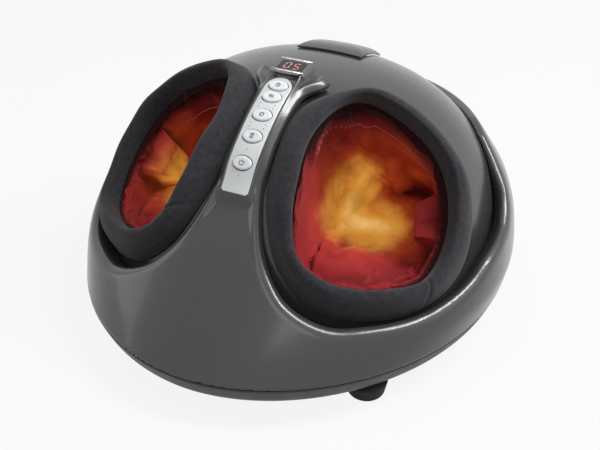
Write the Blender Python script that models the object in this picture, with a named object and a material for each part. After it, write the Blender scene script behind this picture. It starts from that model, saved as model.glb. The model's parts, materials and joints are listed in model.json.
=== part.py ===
"""Foot massager: a domed housing with two padded foot openings and a geared kneading drive.

Metres, +Z up. The front faces -Y. The origin is at floor level under the middle of the body.
"""
import math

import bmesh
import bpy
import numpy as np
from mathutils import Matrix, Vector

# Sampling and rounding of shapes
SEARCH_STEPS = 400
LIFT_STEPS = 900
SLOPE_STEP = 0.003
SMOOTH_ANGLE = math.radians(35)
CORNER_STEPS = 2
POST_SIDES = 6
BORE_SIDES = 8
ROUND_SIDES = 10
MOTOR_SIDES = 16
FOOT_SIDES = 18
DISC_SIDES = 20
TOP_SHARE = 0.9999

# Clearances and overruns
FIT_GAP = 0.0003
SEAT_GAP = 0.0008
RUN_GAP = 0.0006
CUT_OVERRUN = 0.002
WELD = 0.000001

# Outer skirt and front ridge
BODY_HALF_WIDTH = 0.187
BODY_HALF_DEPTH = 0.201
SKIRT_BOTTOM = 0.033
RIDGE_TOP = 0.212

# Half width and half depth of the body that the openings were drawn on, as shares of its height
DRAWN_SHARES = (0.88208, 0.94811)

# Shell
SHELL_WALL = 0.0025
LIP_WIDTH = 0.0054
LIP_DROP = 0.007
CREST_DEPTH_SHARE = 0.47
SKIRT_EXPONENTS = (1.93, 2.05)
SKIRT_COUNT = 34

# Inner dome
DOME_HALF_WIDTH_SHARE = 0.90909
DOME_FRONT_SHARE = -0.73632
DOME_REAR_SHARE = 0.85572
DOME_CENTRE_SHARE = 0.15920
DOME_TOP_SHARE = 0.92925
DOME_FOOT_DRAW = 0.010
DOME_MERIDIANS = (2.1, 2.35)
DOME_EXPONENTS = (2.5, 2.06)
DOME_COUNT = 32
DOME_LEVELS = 8
DOME_CLOSING_SHARE = 0.96

# Base tray and feet
FOOT_HEIGHT = 0.012
FOOT_TOP_RADIUS = 0.017
FOOT_BOTTOM_RADIUS = 0.0145
FOOT_X_SHARE = 0.62032
FOOT_FRONT_Y_SHARE = -0.60697
FOOT_REAR_Y_SHARE = 0.55721
TRAY_WALL = 0.003
TRAY_DRAW = 0.010
TRAY_ROUND = 0.005
POST_RADIUS = 0.004
EDGE_ROUND = 0.003

# Openings, seen along their own axis
OPENING_AZIMUTH = math.radians(45)
OPENING_ELEVATION = math.radians(45)
OPENING_CENTRE_SHARES = (0.09906, 0.08962)
OPENING_HALF_SHARES = (0.40094, 0.43396)
OPENING_COUNT = 24
CREST_COUNT = 44

# Padded cuffs
CUFF_CROWN = 0.015
CUFF_FLANGE = 0.0065
CUFF_FLANGE_DEPTH = 0.008
OPENING_CLEARANCE = 0.002
CUFF_SEAT = 0.0014

# Foot pockets
POCKET_FLOOR = 0.061
POCKET_HALF_WIDTH_SHARE = 0.25134
POCKET_HALF_LENGTH_SHARE = 0.49751
POCKET_EXPONENT = 2.8
POCKET_REACH = 0.045
LINER_WALL = 0.0022
LINER_GAP = 0.0013
LINER_START_SHARE = 0.03
LINER_ROWS = 7
FOLD_DEPTH = 0.007
FOLD_COUNT = 9
DRIFT_COUNT = 7
DRIFT_TURN = 1.0
WELL_OFFSET = 0.0085
WELL_WALL = 0.0025
WELL_FLOOR = 0.050
WELL_SHARES = (0.0, 0.34, 0.52, 0.68, 0.84, 1.0)
AIRBAG_HALF = 0.0022
AIRBAG_EDGE = 0.0004
AIRBAG_SHARES = (0.32, 0.74)
AIRBAG_PLACE_SHARE = 0.55
AIRBAG_ROWS = 5
AIRBAG_SPAN_SHARES = (("upper", 0.16, 0.36), ("outer", -0.12, 0.10))
PORT_SHARE = 0.34

# Kneading drive
GEAR_MODULE_SHARE = 0.020856
CENTRE_TEETH = 26
DISC_TEETH = 20
GEAR_BOTTOM = 0.0185
GEAR_WIDTH = 0.0075
TOOTH_TOP_SHARE = 0.75
TOOTH_ROOT_SHARE = 1.0
PRESSURE_ANGLE = math.radians(20)
TOOTH_BACKLASH_SHARE = 0.12
DRIVE_Y_SHARE = -0.17413
WHEEL_MODULE = 0.0015
WHEEL_TEETH = 25
WHEEL_WIDTH = 0.008
WORM_RADIUS = 0.006
WORM_LENGTH = 0.024
SHAFT_RADIUS = 0.002
AXLE_RADIUS = 0.004
AXLE_BOSS_RADIUS = 0.008
AXLE_BOSS_HEIGHT = 0.003
DISC_PLATE_BOTTOM = 0.038
DISC_PLATE_THICK = 0.005
DISC_RADIUS_SHARE = 0.16578
DISC_WINDOW_RADIUS_SHARE = 0.18182
HUB_RADIUS = 0.008
KNOB_RADIUS = 0.009
KNOB_CIRCLE_SHARE = 0.10695
KNOB_TOP = 0.0585
KNOB_COUNT = 3
KNOB_TURN = math.radians(50)
MOTOR_RADIUS = 0.012
MOTOR_LENGTH = 0.046
BRACKET_THICK = 0.002
BRACKET_HALF_WIDTH = 0.007
STUB_LENGTH = 0.004
THREAD_HALF_SHARE = 0.22
THREAD_FLANK_SHARE = 0.28
THREAD_ROWS = 4

# Controls on the ridge
PANEL_HALF_WIDTH = 0.0115
PANEL_THICK = 0.0012
PANEL_FRONT_Y_SHARE = -0.56965
PANEL_REAR_Y_SHARE = -0.14677
PANEL_CORNER = 0.002
PANEL_SLOPE_SHARE = 0.9
PANEL_TIP_SHARE = 0.12
PANEL_SHARES = (0.0, 0.02, 0.16, 0.30, 0.44, 0.58, 0.72, 0.84, 0.90, 0.95, 0.985, 1.0)
BOARD_SHARES = (0.03, 0.17, 0.31, 0.45, 0.59, 0.73, 0.85, 0.97)
STRIP_SHARES = (-1.0, -0.5, 0.0, 0.5, 1.0)
BUTTON_HALF_WIDTH = 0.0080
BUTTON_HALF_HEIGHT = 0.0054
BUTTON_PROUD = 0.0012
BUTTON_FLANGE = 0.0010
BUTTON_SEAT = 0.0015
BUTTON_FLANGE_THICK = 0.0010
BUTTON_TRAVEL = 0.0010
BUTTON_SHARES = (-0.19154, -0.24876, -0.33085, -0.41294, -0.49751)
BOARD_THICK = 0.0012
BOARD_HALF_WIDTH = 0.0115
BOARD_DEPTH = 0.0062
STUD_RADIUS = 0.0016
DISPLAY_FRONT_Y_SHARE = -0.12189
DISPLAY_REAR_Y_SHARE = -0.04229
DISPLAY_HALF_WIDTH = 0.0150
DISPLAY_RISE = 0.0035
DISPLAY_RIM = 0.0025
DISPLAY_CORNER = 0.0012
WINDOW_HALF_WIDTH = 0.0115
WINDOW_THICK = 0.0012
MODULE_DEPTH = 0.0050

# Grip at the rear top
HANDLE_HALF_WIDTH = 0.042
HANDLE_FRONT_Y_SHARE = 0.28856
HANDLE_REAR_Y_SHARE = 0.51741
HANDLE_RISE = 0.0030
HANDLE_THICK = 0.004
HANDLE_COLUMNS = 9
HANDLE_EXPONENT = 6
HANDLE_SWELL_SHARES = (0.0, 0.7, 1.0, 1.0, 0.9, 0.3)
CUP_HALF_WIDTH = 0.036
CUP_FRONT_Y_SHARE = 0.35821
CUP_REAR_Y_SHARE = 0.62687
CUP_DEPTH = 0.030
CUP_WALL = 0.002
CUP_CORNER = 0.012

# Electrical and air pieces
HEATER_SIZE = (0.056, 0.008, 0.002)
PUMP_SIZE = (0.034, 0.052, 0.036)
PUMP_X = -0.014
PUMP_Y_SHARE = 0.32836
VALVE_SIZE = (0.026, 0.020, 0.014)
HOSE_RADIUS = 0.003
HOSE_BEND = 0.022
HOSE_STEPS = 7
HOSE_STRAIGHT = 0.006
MAIN_BOARD_SIZE = (0.070, 0.034, 0.0016)
MAIN_BOARD_Y_SHARE = 0.63682
STANDOFF_RADIUS = 0.003
STANDOFF_HEIGHT = 0.006
INLET_HALF_WIDTH = 0.013
INLET_HALF_HEIGHT = 0.009
INLET_HEIGHT = 0.050
INLET_FLANGE = 0.003
INLET_DEPTH = 0.014
SCREW_RADIUS = 0.0015
SCREW_HEAD_RADIUS = 0.003
SCREW_HEAD = 0.0018
SCREW_LENGTH = 0.014
SCREW_BOSS_RADIUS = 0.0045
SCREW_X_SHARE = 0.53476
SCREW_INSET = 0.0055

# Skirt sections: height, half width, front, rear and centre, as shares
SKIRT_SHARES = (
    (0.000, 0.979, -1.030, 0.970, 0.00), (0.124, 1.000, -0.945, 0.965, 0.00),
    (0.264, 0.989, -0.841, 0.945, 0.00), (0.404, 0.952, -0.736, 0.905, 0.00),
    (0.545, 0.866, -0.632, 0.846, 0.01), (0.657, 0.786, -0.545, 0.776, 0.025),
    (0.725, 0.717, -0.498, 0.726, 0.04), (0.798, 0.620, -0.423, 0.657, 0.06),
    (0.865, 0.497, -0.333, 0.557, 0.085), (0.913, 0.374, -0.249, 0.458, 0.10),
    (0.949, 0.246, -0.169, 0.358, 0.11), (0.972, 0.150, -0.109, 0.299, 0.11),
    (0.994, 0.030, 0.050, 0.170, 0.11))

# Edge of the cuff round the opening, as shares of the opening's half width and half height
CUFF_EDGE_SHARES = (
    (1.00, -0.12), (0.88, 0.36), (0.47, 0.90), (-0.02, 1.00), (-0.48, 0.86), (-0.80, 0.47),
    (-0.97, 0.06), (-0.97, -0.42), (-0.70, -0.82), (-0.15, -1.00), (0.42, -0.93), (0.83, -0.63))
HOLE_EDGE_SHARES = (
    (0.76, 0.00), (0.67, 0.38), (0.30, 0.84), (-0.05, 0.85), (-0.45, 0.58), (-0.71, 0.16),
    (-0.82, -0.18), (-0.79, -0.44), (-0.52, -0.67), (-0.08, -0.78), (0.34, -0.74), (0.64, -0.42))
CREST_SHARES = (
    (-0.08, 1.15), (-0.39, 1.04), (-0.63, 0.82), (-0.82, 0.58), (-0.98, 0.30), (-1.07, 0.03),
    (-1.12, -0.23), (-1.11, -0.48), (-1.04, -0.71), (-0.88, -0.90), (-0.66, -1.03), (-0.39, -1.08),
    (-0.06, -1.10), (0.25, -1.07), (0.56, -0.98), (0.81, -0.86), (1.01, -0.72), (1.22, -0.57),
    (1.39, -0.40), (1.50, -0.17), (1.53, 0.06), (1.53, 0.50), (1.45, 1.30), (0.80, 2.00), (0.10, 1.60))

# Side view of the line where the skirt ends behind: depth share and height share of the body
REAR_LINE_SHARES = ((-0.045, 0.60), (0.22, 0.60), (0.30, 0.64), (0.45, 0.68), (0.80, 0.70))

# Cuff section: share of the way from hole to edge, and height as a share of the crown
CUFF_SECTION_SHARES = (
    (0.00, 0.25), (0.05, 0.60), (0.20, 0.90), (0.45, 1.00), (0.70, 0.88), (0.90, 0.52), (1.00, 0.20))

# Sizes that follow from these
DOME_HALF_WIDTH = DOME_HALF_WIDTH_SHARE * BODY_HALF_WIDTH
DOME_FRONT = DOME_FRONT_SHARE * BODY_HALF_DEPTH
DOME_REAR = DOME_REAR_SHARE * BODY_HALF_DEPTH
DOME_CENTRE = DOME_CENTRE_SHARE * BODY_HALF_DEPTH
DOME_TOP = DOME_TOP_SHARE * RIDGE_TOP
FOOT_X = FOOT_X_SHARE * BODY_HALF_WIDTH
FOOT_FRONT_Y = FOOT_FRONT_Y_SHARE * BODY_HALF_DEPTH
FOOT_REAR_Y = FOOT_REAR_Y_SHARE * BODY_HALF_DEPTH
POCKET_HALF_WIDTH = POCKET_HALF_WIDTH_SHARE * BODY_HALF_WIDTH
POCKET_HALF_LENGTH = POCKET_HALF_LENGTH_SHARE * BODY_HALF_DEPTH
GEAR_MODULE = GEAR_MODULE_SHARE * BODY_HALF_WIDTH
DRIVE_Y = DRIVE_Y_SHARE * BODY_HALF_DEPTH
DISC_RADIUS = DISC_RADIUS_SHARE * BODY_HALF_WIDTH
DISC_WINDOW_RADIUS = DISC_WINDOW_RADIUS_SHARE * BODY_HALF_WIDTH
KNOB_CIRCLE = KNOB_CIRCLE_SHARE * BODY_HALF_WIDTH
PANEL_FRONT_Y = PANEL_FRONT_Y_SHARE * BODY_HALF_DEPTH
PANEL_REAR_Y = PANEL_REAR_Y_SHARE * BODY_HALF_DEPTH
DISPLAY_FRONT_Y = DISPLAY_FRONT_Y_SHARE * BODY_HALF_DEPTH
DISPLAY_REAR_Y = DISPLAY_REAR_Y_SHARE * BODY_HALF_DEPTH
HANDLE_FRONT_Y = HANDLE_FRONT_Y_SHARE * BODY_HALF_DEPTH
HANDLE_REAR_Y = HANDLE_REAR_Y_SHARE * BODY_HALF_DEPTH
CUP_FRONT_Y = CUP_FRONT_Y_SHARE * BODY_HALF_DEPTH
CUP_REAR_Y = CUP_REAR_Y_SHARE * BODY_HALF_DEPTH
MAIN_BOARD_Y = MAIN_BOARD_Y_SHARE * BODY_HALF_DEPTH
SCREW_X = SCREW_X_SHARE * BODY_HALF_WIDTH
BUTTON_YS = [share * BODY_HALF_DEPTH for share in BUTTON_SHARES]
PUMP_CENTRE = (PUMP_X, PUMP_Y_SHARE * BODY_HALF_DEPTH)
STRETCH = (BODY_HALF_WIDTH / RIDGE_TOP / DRAWN_SHARES[0], BODY_HALF_DEPTH / RIDGE_TOP / DRAWN_SHARES[1], 1.0)
TRAY_FLOOR = FOOT_HEIGHT + TRAY_WALL
CENTRE_RADIUS = GEAR_MODULE * CENTRE_TEETH / 2
DISC_GEAR_RADIUS = GEAR_MODULE * DISC_TEETH / 2
DISC_X = CENTRE_RADIUS + DISC_GEAR_RADIUS
DISC_SPACING = 2 * DISC_GEAR_RADIUS
DISC_YS = (("front", DRIVE_Y), ("rear", DRIVE_Y + DISC_SPACING))
POCKET_CENTRE_Y = DRIVE_Y + DISC_SPACING / 2
GEAR_TOP = GEAR_BOTTOM + GEAR_WIDTH
DISC_PLATE_TOP = DISC_PLATE_BOTTOM + DISC_PLATE_THICK
WHEEL_RADIUS = WHEEL_MODULE * WHEEL_TEETH / 2
WORM_X = WHEEL_RADIUS + WORM_RADIUS
WORM_LEAD = math.pi * WHEEL_MODULE
WORM_Z = GEAR_TOP + WHEEL_WIDTH
SIDES = (("right", 1), ("left", -1))

# Colours
DARK_GREY = (0.118, 0.118, 0.120)
DEEP_GREY = (0.085, 0.085, 0.088)
BLACK = (0.012, 0.012, 0.012)
CHARCOAL = (0.022, 0.022, 0.026)
LINER_RED = (0.35, 0.020, 0.018)
PANEL_GREY = (0.52, 0.56, 0.52)
BUTTON_WHITE = (0.80, 0.82, 0.82)
BOARD_GREEN = (0.02, 0.16, 0.06)
BAG_GREY = (0.30, 0.30, 0.31)
NYLON = (0.62, 0.60, 0.55)
STEEL = (0.55, 0.55, 0.56)
SILVER = (0.45, 0.46, 0.48)


def clear_scene():
    for item in list(bpy.data.objects):
        bpy.data.objects.remove(item, do_unlink=True)


def new_collection(name):
    collection = bpy.data.collections.new(name)
    bpy.context.scene.collection.children.link(collection)
    return collection


clear_scene()
PARTS = new_collection("foot_massager")
CUTTERS = new_collection("cutters")
MIDDLE = bpy.data.objects.new("middle", None)
CUTTERS.objects.link(MIDDLE)


def material(name, colour, roughness, metallic=0.0):
    made = bpy.data.materials.new(name)
    made.use_nodes = True
    shader = made.node_tree.nodes["Principled BSDF"]
    shader.inputs["Base Color"].default_value = (*colour, 1.0)
    shader.inputs["Roughness"].default_value = roughness
    shader.inputs["Metallic"].default_value = metallic
    return made


def piece(name, mesh, colour, roughness=0.5, metallic=0.0, pivot=(0.0, 0.0, 0.0)):
    """A sub-part, its origin at the pivot."""
    made = bpy.data.objects.new(name, mesh)
    PARTS.objects.link(made)
    made.parent = MIDDLE
    made.location = pivot
    mesh.transform(Matrix.Translation(-Vector(pivot)))
    mesh.materials.clear()
    mesh.materials.append(material(name, colour, roughness, metallic))
    mesh.shade_smooth()
    mesh.set_sharp_from_angle(angle=SMOOTH_ANGLE)
    return made


def guide(name, mesh):
    made = bpy.data.objects.new(name, mesh)
    CUTTERS.objects.link(made)
    made.parent = MIDDLE
    made.hide_render = True
    made.display_type = "WIRE"
    return made


def combine(target, tool, operation="DIFFERENCE"):
    modifier = target.modifiers.new(tool.name, "BOOLEAN")
    modifier.operation = operation
    modifier.solver = "EXACT"
    modifier.object = tool


# Mesh helpers
def mesh_from(name, bm):
    bmesh.ops.recalc_face_normals(bm, faces=bm.faces)
    mesh = bpy.data.meshes.new(name)
    bm.to_mesh(mesh)
    bm.free()
    return mesh


def loft(name, rings, closed=False):
    """Faces between rings of equal count, with a cap at each end, or joined end to end."""
    bm = bmesh.new()
    rows = [[bm.verts.new(point) for point in ring] for ring in rings]
    pairs = list(zip(rows, rows[1:]))
    if closed:
        pairs.append((rows[-1], rows[0]))
    count = len(rows[0])
    for low, high in pairs:
        for i in range(count):
            j = (i + 1) % count
            bm.faces.new((low[i], low[j], high[j], high[i]))
    if not closed:
        bm.faces.new(rows[0])
        bm.faces.new(rows[-1])
    return mesh_from(name, bm)


def patch(name, top, bottom):
    """A closed pillow between two grids of points that share no edge."""
    bm = bmesh.new()
    rows, columns = top.shape[:2]
    grids = [[[bm.verts.new(point) for point in row] for row in grid] for grid in (top, bottom)]
    for grid in grids:
        for i in range(rows - 1):
            for j in range(columns - 1):
                bm.faces.new((grid[i][j], grid[i][j + 1], grid[i + 1][j + 1], grid[i + 1][j]))
    border = [(0, j) for j in range(columns)] + [(i, columns - 1) for i in range(1, rows)]
    border += [(rows - 1, j) for j in range(columns - 2, -1, -1)] + [(i, 0) for i in range(rows - 2, 0, -1)]
    for (a, b), (c, d) in zip(border, border[1:] + border[:1]):
        bm.faces.new((grids[0][a][b], grids[0][c][d], grids[1][c][d], grids[1][a][b]))
    return mesh_from(name, bm)


def curve_mesh(name, data, matrix):
    """A curve made a mesh in world space, its caps welded."""
    holder = bpy.data.objects.new(name, data)
    CUTTERS.objects.link(holder)
    bpy.context.view_layer.update()
    depsgraph = bpy.context.evaluated_depsgraph_get()
    mesh = bpy.data.meshes.new_from_object(holder.evaluated_get(depsgraph))
    bpy.data.objects.remove(holder, do_unlink=True)
    mesh.transform(matrix)
    bm = bmesh.new()
    bm.from_mesh(mesh)
    bmesh.ops.remove_doubles(bm, verts=bm.verts, dist=WELD)
    bpy.data.meshes.remove(mesh)
    return mesh_from(name, bm)


def flat_shape(name, outlines, low, high, matrix=Matrix.Identity(4)):
    """Flat outlines, the first one outside and the rest holes, drawn out from low to high."""
    data = bpy.data.curves.new(name, "CURVE")
    data.dimensions = "2D"
    data.fill_mode = "BOTH"
    data.extrude = (high - low) / 2
    for outline in outlines:
        spline = data.splines.new("POLY")
        spline.points.add(len(outline) - 1)
        for point, (x, y) in zip(spline.points, outline):
            point.co = (x, y, 0.0, 1.0)
        spline.use_cyclic_u = True
    return curve_mesh(name, data, matrix @ Matrix.Translation((0, 0, (high + low) / 2)))


def circle(radius, count, centre=(0.0, 0.0)):
    turns = [math.tau * i / count for i in range(count)]
    return [(centre[0] + radius * math.cos(t), centre[1] + radius * math.sin(t)) for t in turns]


def rounded_box_outline(half_x, half_y, radius, centre=(0.0, 0.0), steps=4):
    points = []
    for quarter, (sx, sy) in enumerate(((1, 1), (-1, 1), (-1, -1), (1, -1))):
        for step in range(steps + 1):
            turn = math.pi / 2 * (quarter + step / steps)
            x = centre[0] + sx * (half_x - radius) + radius * math.cos(turn)
            points.append((x, centre[1] + sy * (half_y - radius) + radius * math.sin(turn)))
    return points


def turned(name, profile, count, matrix):
    """A turned solid: (radius, height) points from the axis at the bottom to the axis at the top."""
    rings = []
    for radius, height in profile:
        rings.append([matrix @ Vector((x, y, height)) for x, y in circle(radius, count)])
    return loft(name, rings)


def tube(name, points, radius):
    data = bpy.data.curves.new(name, "CURVE")
    data.dimensions = "3D"
    data.bevel_depth = radius
    data.bevel_resolution = 2
    data.use_fill_caps = True
    spline = data.splines.new("POLY")
    spline.points.add(len(points) - 1)
    for target, point in zip(spline.points, points):
        target.co = (*point, 1.0)
    return curve_mesh(name, data, Matrix.Identity(4))


# Body surfaces
def smooth_through(xs, ys, x):
    """A smooth line through points that never swings past them."""
    xs, ys, x = (np.asarray(values, float) for values in (xs, ys, x))
    steps = np.diff(xs)
    slopes = np.diff(ys) / steps
    tangents = np.concatenate(([slopes[0]], np.zeros(len(xs) - 2), [slopes[-1]]))
    product = slopes[:-1] * slopes[1:]
    total = np.where(product > 0, slopes[:-1] + slopes[1:], 1.0)
    tangents[1:-1] = np.where(product > 0, 2 * product / total, 0.0)
    i = np.clip(np.searchsorted(xs, x) - 1, 0, len(xs) - 2)
    t = (np.clip(x, xs[0], xs[-1]) - xs[i]) / steps[i]
    start = ys[i] * (1 + 2 * t) * (1 - t) ** 2 + tangents[i] * steps[i] * t * (1 - t) ** 2
    return start + ys[i + 1] * t * t * (3 - 2 * t) - tangents[i + 1] * steps[i] * t * t * (1 - t)


def skirt_section(z):
    """Half width, front, rear and centre of the skirt at a height."""
    table = np.array(SKIRT_SHARES)
    share = (np.asarray(z, float) - SKIRT_BOTTOM) / (RIDGE_TOP - SKIRT_BOTTOM)
    wide = BODY_HALF_WIDTH * smooth_through(table[:, 0], table[:, 1], share)
    front, rear, centre = (BODY_HALF_DEPTH * smooth_through(table[:, 0], table[:, k], share) for k in (2, 3, 4))
    return wide, front, rear, centre


def dome_section(z):
    """Half width, front, rear and centre of the dome at a height."""
    z = np.asarray(z, float)
    share = np.clip((z - SKIRT_BOTTOM) / (DOME_TOP - SKIRT_BOTTOM), 0.0, TOP_SHARE)
    front_power, rear_power = DOME_MERIDIANS
    front_share = (1 - share ** front_power) ** (1 / front_power)
    rear_share = (1 - share ** rear_power) ** (1 / rear_power)
    draw = DOME_FOOT_DRAW * np.clip((SKIRT_BOTTOM - z) / (SKIRT_BOTTOM - FOOT_HEIGHT - TRAY_WALL), 0.0, 1.0)
    wide = DOME_HALF_WIDTH * rear_share - draw
    front = DOME_CENTRE + (DOME_FRONT - DOME_CENTRE) * front_share + draw
    rear = DOME_CENTRE + (DOME_REAR - DOME_CENTRE) * rear_share - draw
    return wide, front, rear, DOME_CENTRE + 0 * z


def section_value(section, exponents, points):
    """Below zero inside the body, above zero outside."""
    x, y, z = np.moveaxis(np.asarray(points, float), -1, 0)
    wide, front, rear, centre = section(z)
    power = np.where(y < centre, exponents[0], exponents[1])
    reach = np.where(y < centre, centre - front, rear - centre)
    return (np.abs(x / wide) ** power + np.abs((y - centre) / reach) ** power) ** (1 / power) - 1


def section_ring(section, exponents, z, count):
    wide, front, rear, centre = section(z)
    turns = math.tau * (np.arange(count) + 0.5) / count
    cos, sin = np.cos(turns), np.sin(turns)
    power = np.where(sin < 0, exponents[0], exponents[1])
    scale = (np.abs(cos) ** power + np.abs(sin) ** power) ** (-1 / power)
    reach = np.where(sin < 0, centre - front, rear - centre)
    return np.stack([wide * cos * scale, centre + reach * sin * scale, z + 0 * cos], -1)


def grid_normals(grid):
    """Outward normals of a stack of closed rings."""
    around = np.roll(grid, -1, axis=1) - np.roll(grid, 1, axis=1)
    upward = np.gradient(grid, axis=0)
    normals = np.cross(around, upward)
    return normals / np.linalg.norm(normals, axis=2, keepdims=True)


def skirt_grid():
    table = np.array(SKIRT_SHARES)
    heights = SKIRT_BOTTOM + (RIDGE_TOP - SKIRT_BOTTOM) * table[:, 0]
    return np.array([section_ring(skirt_section, SKIRT_EXPONENTS, z, SKIRT_COUNT) for z in heights])


def dome_grid(foot):
    power = DOME_MERIDIANS[1]
    turns = np.linspace(0.0, DOME_CLOSING_SHARE, DOME_LEVELS) * math.pi / 2
    climbs = (1 - np.cos(turns) ** power) ** (1 / power)
    heights = [foot] + list(SKIRT_BOTTOM + (DOME_TOP - SKIRT_BOTTOM) * climbs)
    return np.array([section_ring(dome_section, DOME_EXPONENTS, z, DOME_COUNT) for z in heights])


def opening_frame():
    azimuth, elevation = OPENING_AZIMUTH, OPENING_ELEVATION
    level = math.cos(elevation)
    outward = np.array([math.sin(azimuth) * level, -math.cos(azimuth) * level, math.sin(elevation)])
    across = np.array([math.cos(azimuth), math.sin(azimuth), 0.0])
    return across, np.cross(outward, across), outward


ACROSS, ALONG, OUTWARD = opening_frame()


def smooth_loop(points, count, cyclic=True):
    """Evenly counted points of a smooth closed line through the given ones."""
    points = np.asarray(points, float)
    turns = np.arange(count) / count * len(points)
    base = np.floor(turns).astype(int)
    t = (turns - base)[:, None]
    p0, p1, p2, p3 = (points[(base + k) % len(points)] for k in (-1, 0, 1, 2))
    return p1 + t / 2 * (p2 - p0 + t * (2 * p0 - 5 * p1 + 4 * p2 - p3 + t * (3 * (p1 - p2) + p3 - p0)))


def opening_outline(shares, count=OPENING_COUNT):
    scaled = np.array(OPENING_CENTRE_SHARES) + smooth_loop(shares, count) * np.array(OPENING_HALF_SHARES)
    return scaled * RIDGE_TOP


def grown(outline, distance):
    """The outline moved outward by a distance."""
    ahead = np.roll(outline, -1, axis=0) - np.roll(outline, 1, axis=0)
    normals = np.stack([ahead[:, 1], -ahead[:, 0]], 1)
    return outline + distance * normals / np.linalg.norm(normals, axis=1, keepdims=True)


def in_space(outline, depth):
    """Opening-plane points at a depth along the opening's axis, as points in space."""
    depth = np.broadcast_to(depth, (len(outline),))
    drawn = outline[:, :1] * ACROSS + outline[:, 1:] * ALONG + depth[:, None] * OUTWARD
    return drawn * STRETCH


def height_on(section, exponents, outline):
    """How far out along the opening's axis the body's surface lies over each point."""
    reach = np.linspace(1.5 * RIDGE_TOP, 0.0, SEARCH_STEPS)
    values = np.array([section_value(section, exponents, in_space(outline, depth)) for depth in reach])
    inside = values < 0
    met = inside.any(axis=0)
    first = np.maximum(np.argmax(inside, axis=0), 1)
    columns = np.arange(len(outline))
    outer, inner = values[first - 1, columns], values[first, columns]
    share = np.clip(outer / np.where(met, outer - inner, 1.0), 0.0, 1.0)
    heights = reach[first - 1] + share * (reach[first] - reach[first - 1])
    return np.interp(columns, columns[met], heights[met], period=len(outline))


def on_dome(outline):
    return in_space(outline, height_on(dome_section, DOME_EXPONENTS, outline))


def dome_normals(points):
    step = SEAT_GAP
    slopes = []
    for axis in np.eye(3):
        ahead = section_value(dome_section, DOME_EXPONENTS, points + step * axis)
        slopes.append(ahead - section_value(dome_section, DOME_EXPONENTS, points - step * axis))
    normals = np.stack(slopes, -1)
    return normals / np.linalg.norm(normals, axis=1, keepdims=True)


def mirrored(points, side):
    return np.asarray(points) * np.array([side, 1.0, 1.0])


CUFF_EDGE = opening_outline(CUFF_EDGE_SHARES)
HOLE_EDGE = opening_outline(HOLE_EDGE_SHARES)
CREST_EDGE = opening_outline(CREST_SHARES, CREST_COUNT)


def crest_cutter(name, side, wall):
    """What the front shell leaves open round one foot: a straight well below the slope of its lip."""
    valley = grown(CREST_EDGE, wall - LIP_WIDTH)
    crest = grown(CREST_EDGE, wall)
    low = CREST_DEPTH_SHARE * RIDGE_TOP - wall
    surface = height_on(skirt_section, SKIRT_EXPONENTS, grown(CREST_EDGE, -LIP_WIDTH / 3)) - wall
    surface = np.maximum(surface, low + 2 * LIP_DROP)
    rings = [in_space(valley, low), in_space(valley, surface - LIP_DROP), in_space(crest, surface),
             in_space(crest, 2 * RIDGE_TOP)]
    return guide(name, loft(name, [mirrored(ring, side) for ring in rings]))


def rear_cutter(name, wall):
    """Everything behind the ridge and above the line where the skirt ends at the back."""
    line = [(y * BODY_HALF_DEPTH - wall, z * RIDGE_TOP - wall) for y, z in REAR_LINE_SHARES]
    outline = [(line[0][0], 2 * RIDGE_TOP)] + line + [(2 * BODY_HALF_DEPTH, line[-1][1])]
    outline.append((2 * BODY_HALF_DEPTH, 2 * RIDGE_TOP))
    side_view = Matrix(((0, 0, 1, 0), (1, 0, 0, 0), (0, 1, 0, 0), (0, 0, 0, 1)))
    return guide(name, flat_shape(name, [outline], -2 * BODY_HALF_WIDTH, 2 * BODY_HALF_WIDTH, side_view))


def solid_between(name, grid, foot=None):
    """The closed solid inside a stack of rings, its lowest ring moved to a height."""
    grid = grid.copy()
    if foot is not None:
        grid[0, :, 2] = foot
    return loft(name, list(grid))


def dome_body(name, inset, foot, step=1):
    grid = dome_grid(TRAY_FLOOR + FIT_GAP)
    return guide(name, solid_between(name, (grid - inset * grid_normals(grid))[::step], foot))


def plan_ring(inset, z):
    """The skirt's lowest outline drawn in by a distance, at a height."""
    outline = section_ring(skirt_section, SKIRT_EXPONENTS, SKIRT_BOTTOM, SKIRT_COUNT)[:, :2]
    return [(x, y, z) for x, y in grown(outline, -inset)]


def upright(name, radius, low, high, x, y, count=ROUND_SIDES):
    return flat_shape(name, [circle(radius, count, (x, y))], low, high)


def wall_y(x, z, front):
    """Where the dome's outer wall stands at a given x and height."""
    wide, ahead, behind, centre = (float(value) for value in dome_section(z))
    power = DOME_EXPONENTS[0] if front else DOME_EXPONENTS[1]
    reach = (ahead if front else behind) - centre
    return centre + reach * (1 - (x / wide) ** power) ** (1 / power)


SCREW_PLACES = []
for front_word, is_front in (("front", True), ("rear", False)):
    for side_word, sign in SIDES:
        place_y = wall_y(SCREW_X, TRAY_FLOOR, is_front) + (SCREW_INSET if is_front else -SCREW_INSET)
        SCREW_PLACES.append((f"{front_word}_{side_word}", sign * SCREW_X, place_y))
WELL_POSTS = ((DISC_X, DRIVE_Y - DISC_GEAR_RADIUS - AXLE_BOSS_RADIUS - POST_RADIUS),
              (DISC_X, DRIVE_Y + DISC_SPACING + DISC_GEAR_RADIUS + AXLE_BOSS_RADIUS + POST_RADIUS),
              (DISC_X + POCKET_HALF_WIDTH, POCKET_CENTRE_Y))


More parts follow.
